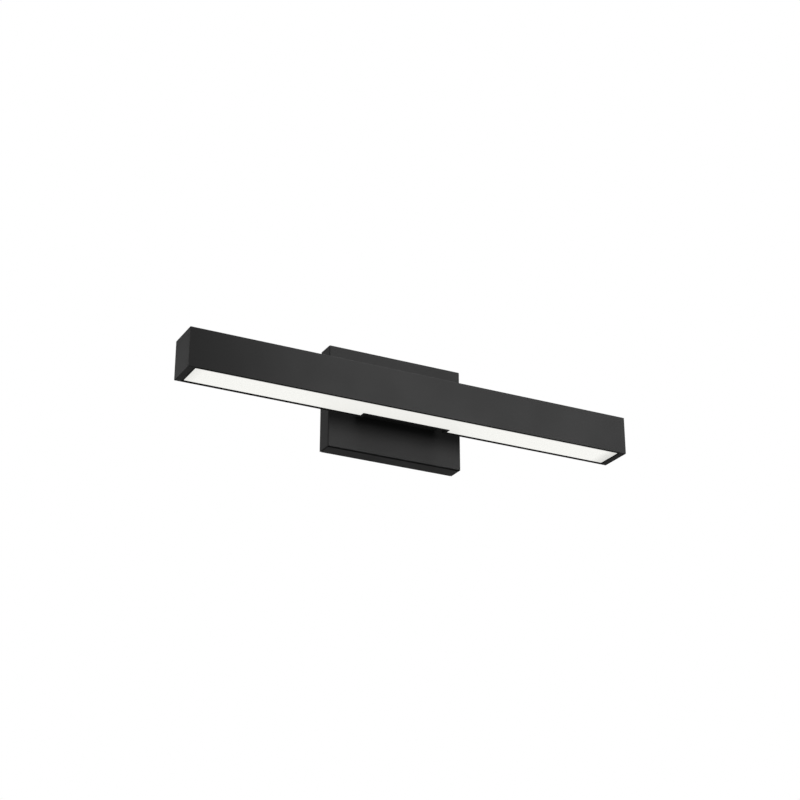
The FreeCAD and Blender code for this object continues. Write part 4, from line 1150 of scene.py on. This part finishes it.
class VANITY_OT_screws(bpy.types.Operator):
    """Every screw, with its socket and helical thread"""

    bl_idname = "vanity.screws"
    bl_label = "Screws"

    def execute(self, context):
        for node, slot, size, way in SCREWS:
            shank, head, height, pitch = np.array(size) * MM
            flat = node == COUNTERSUNK
            low, high = corners(node)
            along = [abs(part) for part in way].index(1)
            drop = 0.0 if flat else height
            start = (low if way[along] > 0 else high)[along] + way[along] * drop
            skin = screw_skin(shank, head, height, high[along] - low[along] - drop, pitch, flat)
            skins = stand(skin, seats(node, along, start), -np.array(way))
            new_piece(node.replace("_screw", "_fastener"), skins, [node], slot, sharp=50)
        return {"FINISHED"}


# ---- Making the materials ----
class VANITY_OT_finishes(bpy.types.Operator):
    """Materials of the pieces"""

    bl_idname = "vanity.finishes"
    bl_label = "Finishes"

    def execute(self, context):
        look = context.scene.vanity_look
        for plain in list(bpy.data.materials):
            plain.name = "packed_" + plain.name
        # The canopy's coat is the same powder coat in a darker, less glossy copy: painted shade
        for name, depth in (("bar_coat", 1), ("cap_coat", 1), ("cast_coat", 1), ("arm_coat", 1),
                            ("canopy_coat", look.canopy_shade_share), ("chassis_coat", 1)):
            powder_coat(name, look, depth)
        zinc_plate("bracket_zinc")
        zinc_plate("screw_zinc", spangle=900)
        zinc_plate("screw_green", (0.06, 0.33, 0.13), 900)
        zinc_plate("lug_tin", (0.72, 0.72, 0.70), 700)
        moulded("screw_black", (0.02, 0.02, 0.022), 0.4, 2500)
        moulded("grommet_rubber", (0.02, 0.02, 0.02), 0.6, 900)
        moulded("driver_case", (0.84, 0.84, 0.81), 0.5)
        moulded("block_cream", (0.76, 0.73, 0.64), 0.42)
        moulded("connector_white", (0.85, 0.85, 0.80), 0.35)
        black, green = (0.015, 0.015, 0.016), (0.05, 0.34, 0.11)
        insulation("lead_green", green, green)
        insulation("lead_mains", black, (0.82, 0.82, 0.80))
        insulation("lead_output", black, (0.48, 0.02, 0.02))
        mill_aluminium("tray_aluminium")
        row = float((BOARD_LOW[1] + BOARD_HIGH[1]) / 2)
        circuit_board("board_white", row, float(BOARD_HIGH[1]) - row)
        phosphor("led_phosphor", row)
        return {"FINISHED"}


# ---- Panel and registration ----
class VANITY_PT_panel(bpy.types.Panel):
    """Sidebar panel that lists the steps"""

    bl_idname = "VANITY_PT_panel"
    bl_label = "Vanity bar"
    bl_space_type = "VIEW_3D"
    bl_region_type = "UI"
    bl_category = "Vanity Bar"

    def draw(self, context):
        for group in GROUPS:
            settings = getattr(context.scene, group)
            column = self.layout.column(align=True)
            column.label(text=group.replace("vanity_", "").title())
            for key in settings.bl_rna.properties.keys():
                if key not in ("rna_type", "name"):
                    column.prop(settings, key)
        for step in STEPS:
            self.layout.operator(step.bl_idname)


GROUPS = {"vanity_bar": VANITY_PG_bar, "vanity_canopy": VANITY_PG_canopy,
          "vanity_look": VANITY_PG_look, "vanity_stage": VANITY_PG_stage}
STEPS = (VANITY_OT_finishes, VANITY_OT_housing, VANITY_OT_end_caps, VANITY_OT_diffuser, VANITY_OT_arm,
         VANITY_OT_cover, VANITY_OT_chassis, VANITY_OT_bracket, VANITY_OT_lights, VANITY_OT_supply,
         VANITY_OT_leads, VANITY_OT_screws, VANITY_OT_stage)
CLASSES = (*GROUPS.values(), *STEPS, VANITY_PT_panel)


def register():
    """Register the classes and hang the settings on the scene."""
    for cls in CLASSES:
        bpy.utils.register_class(cls)
    for name, group in GROUPS.items():
        setattr(bpy.types.Scene, name, bpy.props.PointerProperty(type=group))


def unregister():
    """Undo register."""
    for name in GROUPS:
        delattr(bpy.types.Scene, name)
    for cls in reversed(CLASSES):
        bpy.utils.unregister_class(cls)


def main():
    """Clear the default objects and build everything."""
    for name in ("Cube", "Light", "Camera"):
        if name in bpy.data.objects:
            bpy.data.objects.remove(bpy.data.objects[name])
    register()
    for step in STEPS:
        getattr(bpy.ops.vanity, step.bl_idname.split(".")[1])()


if __name__ == "__main__":
    main()
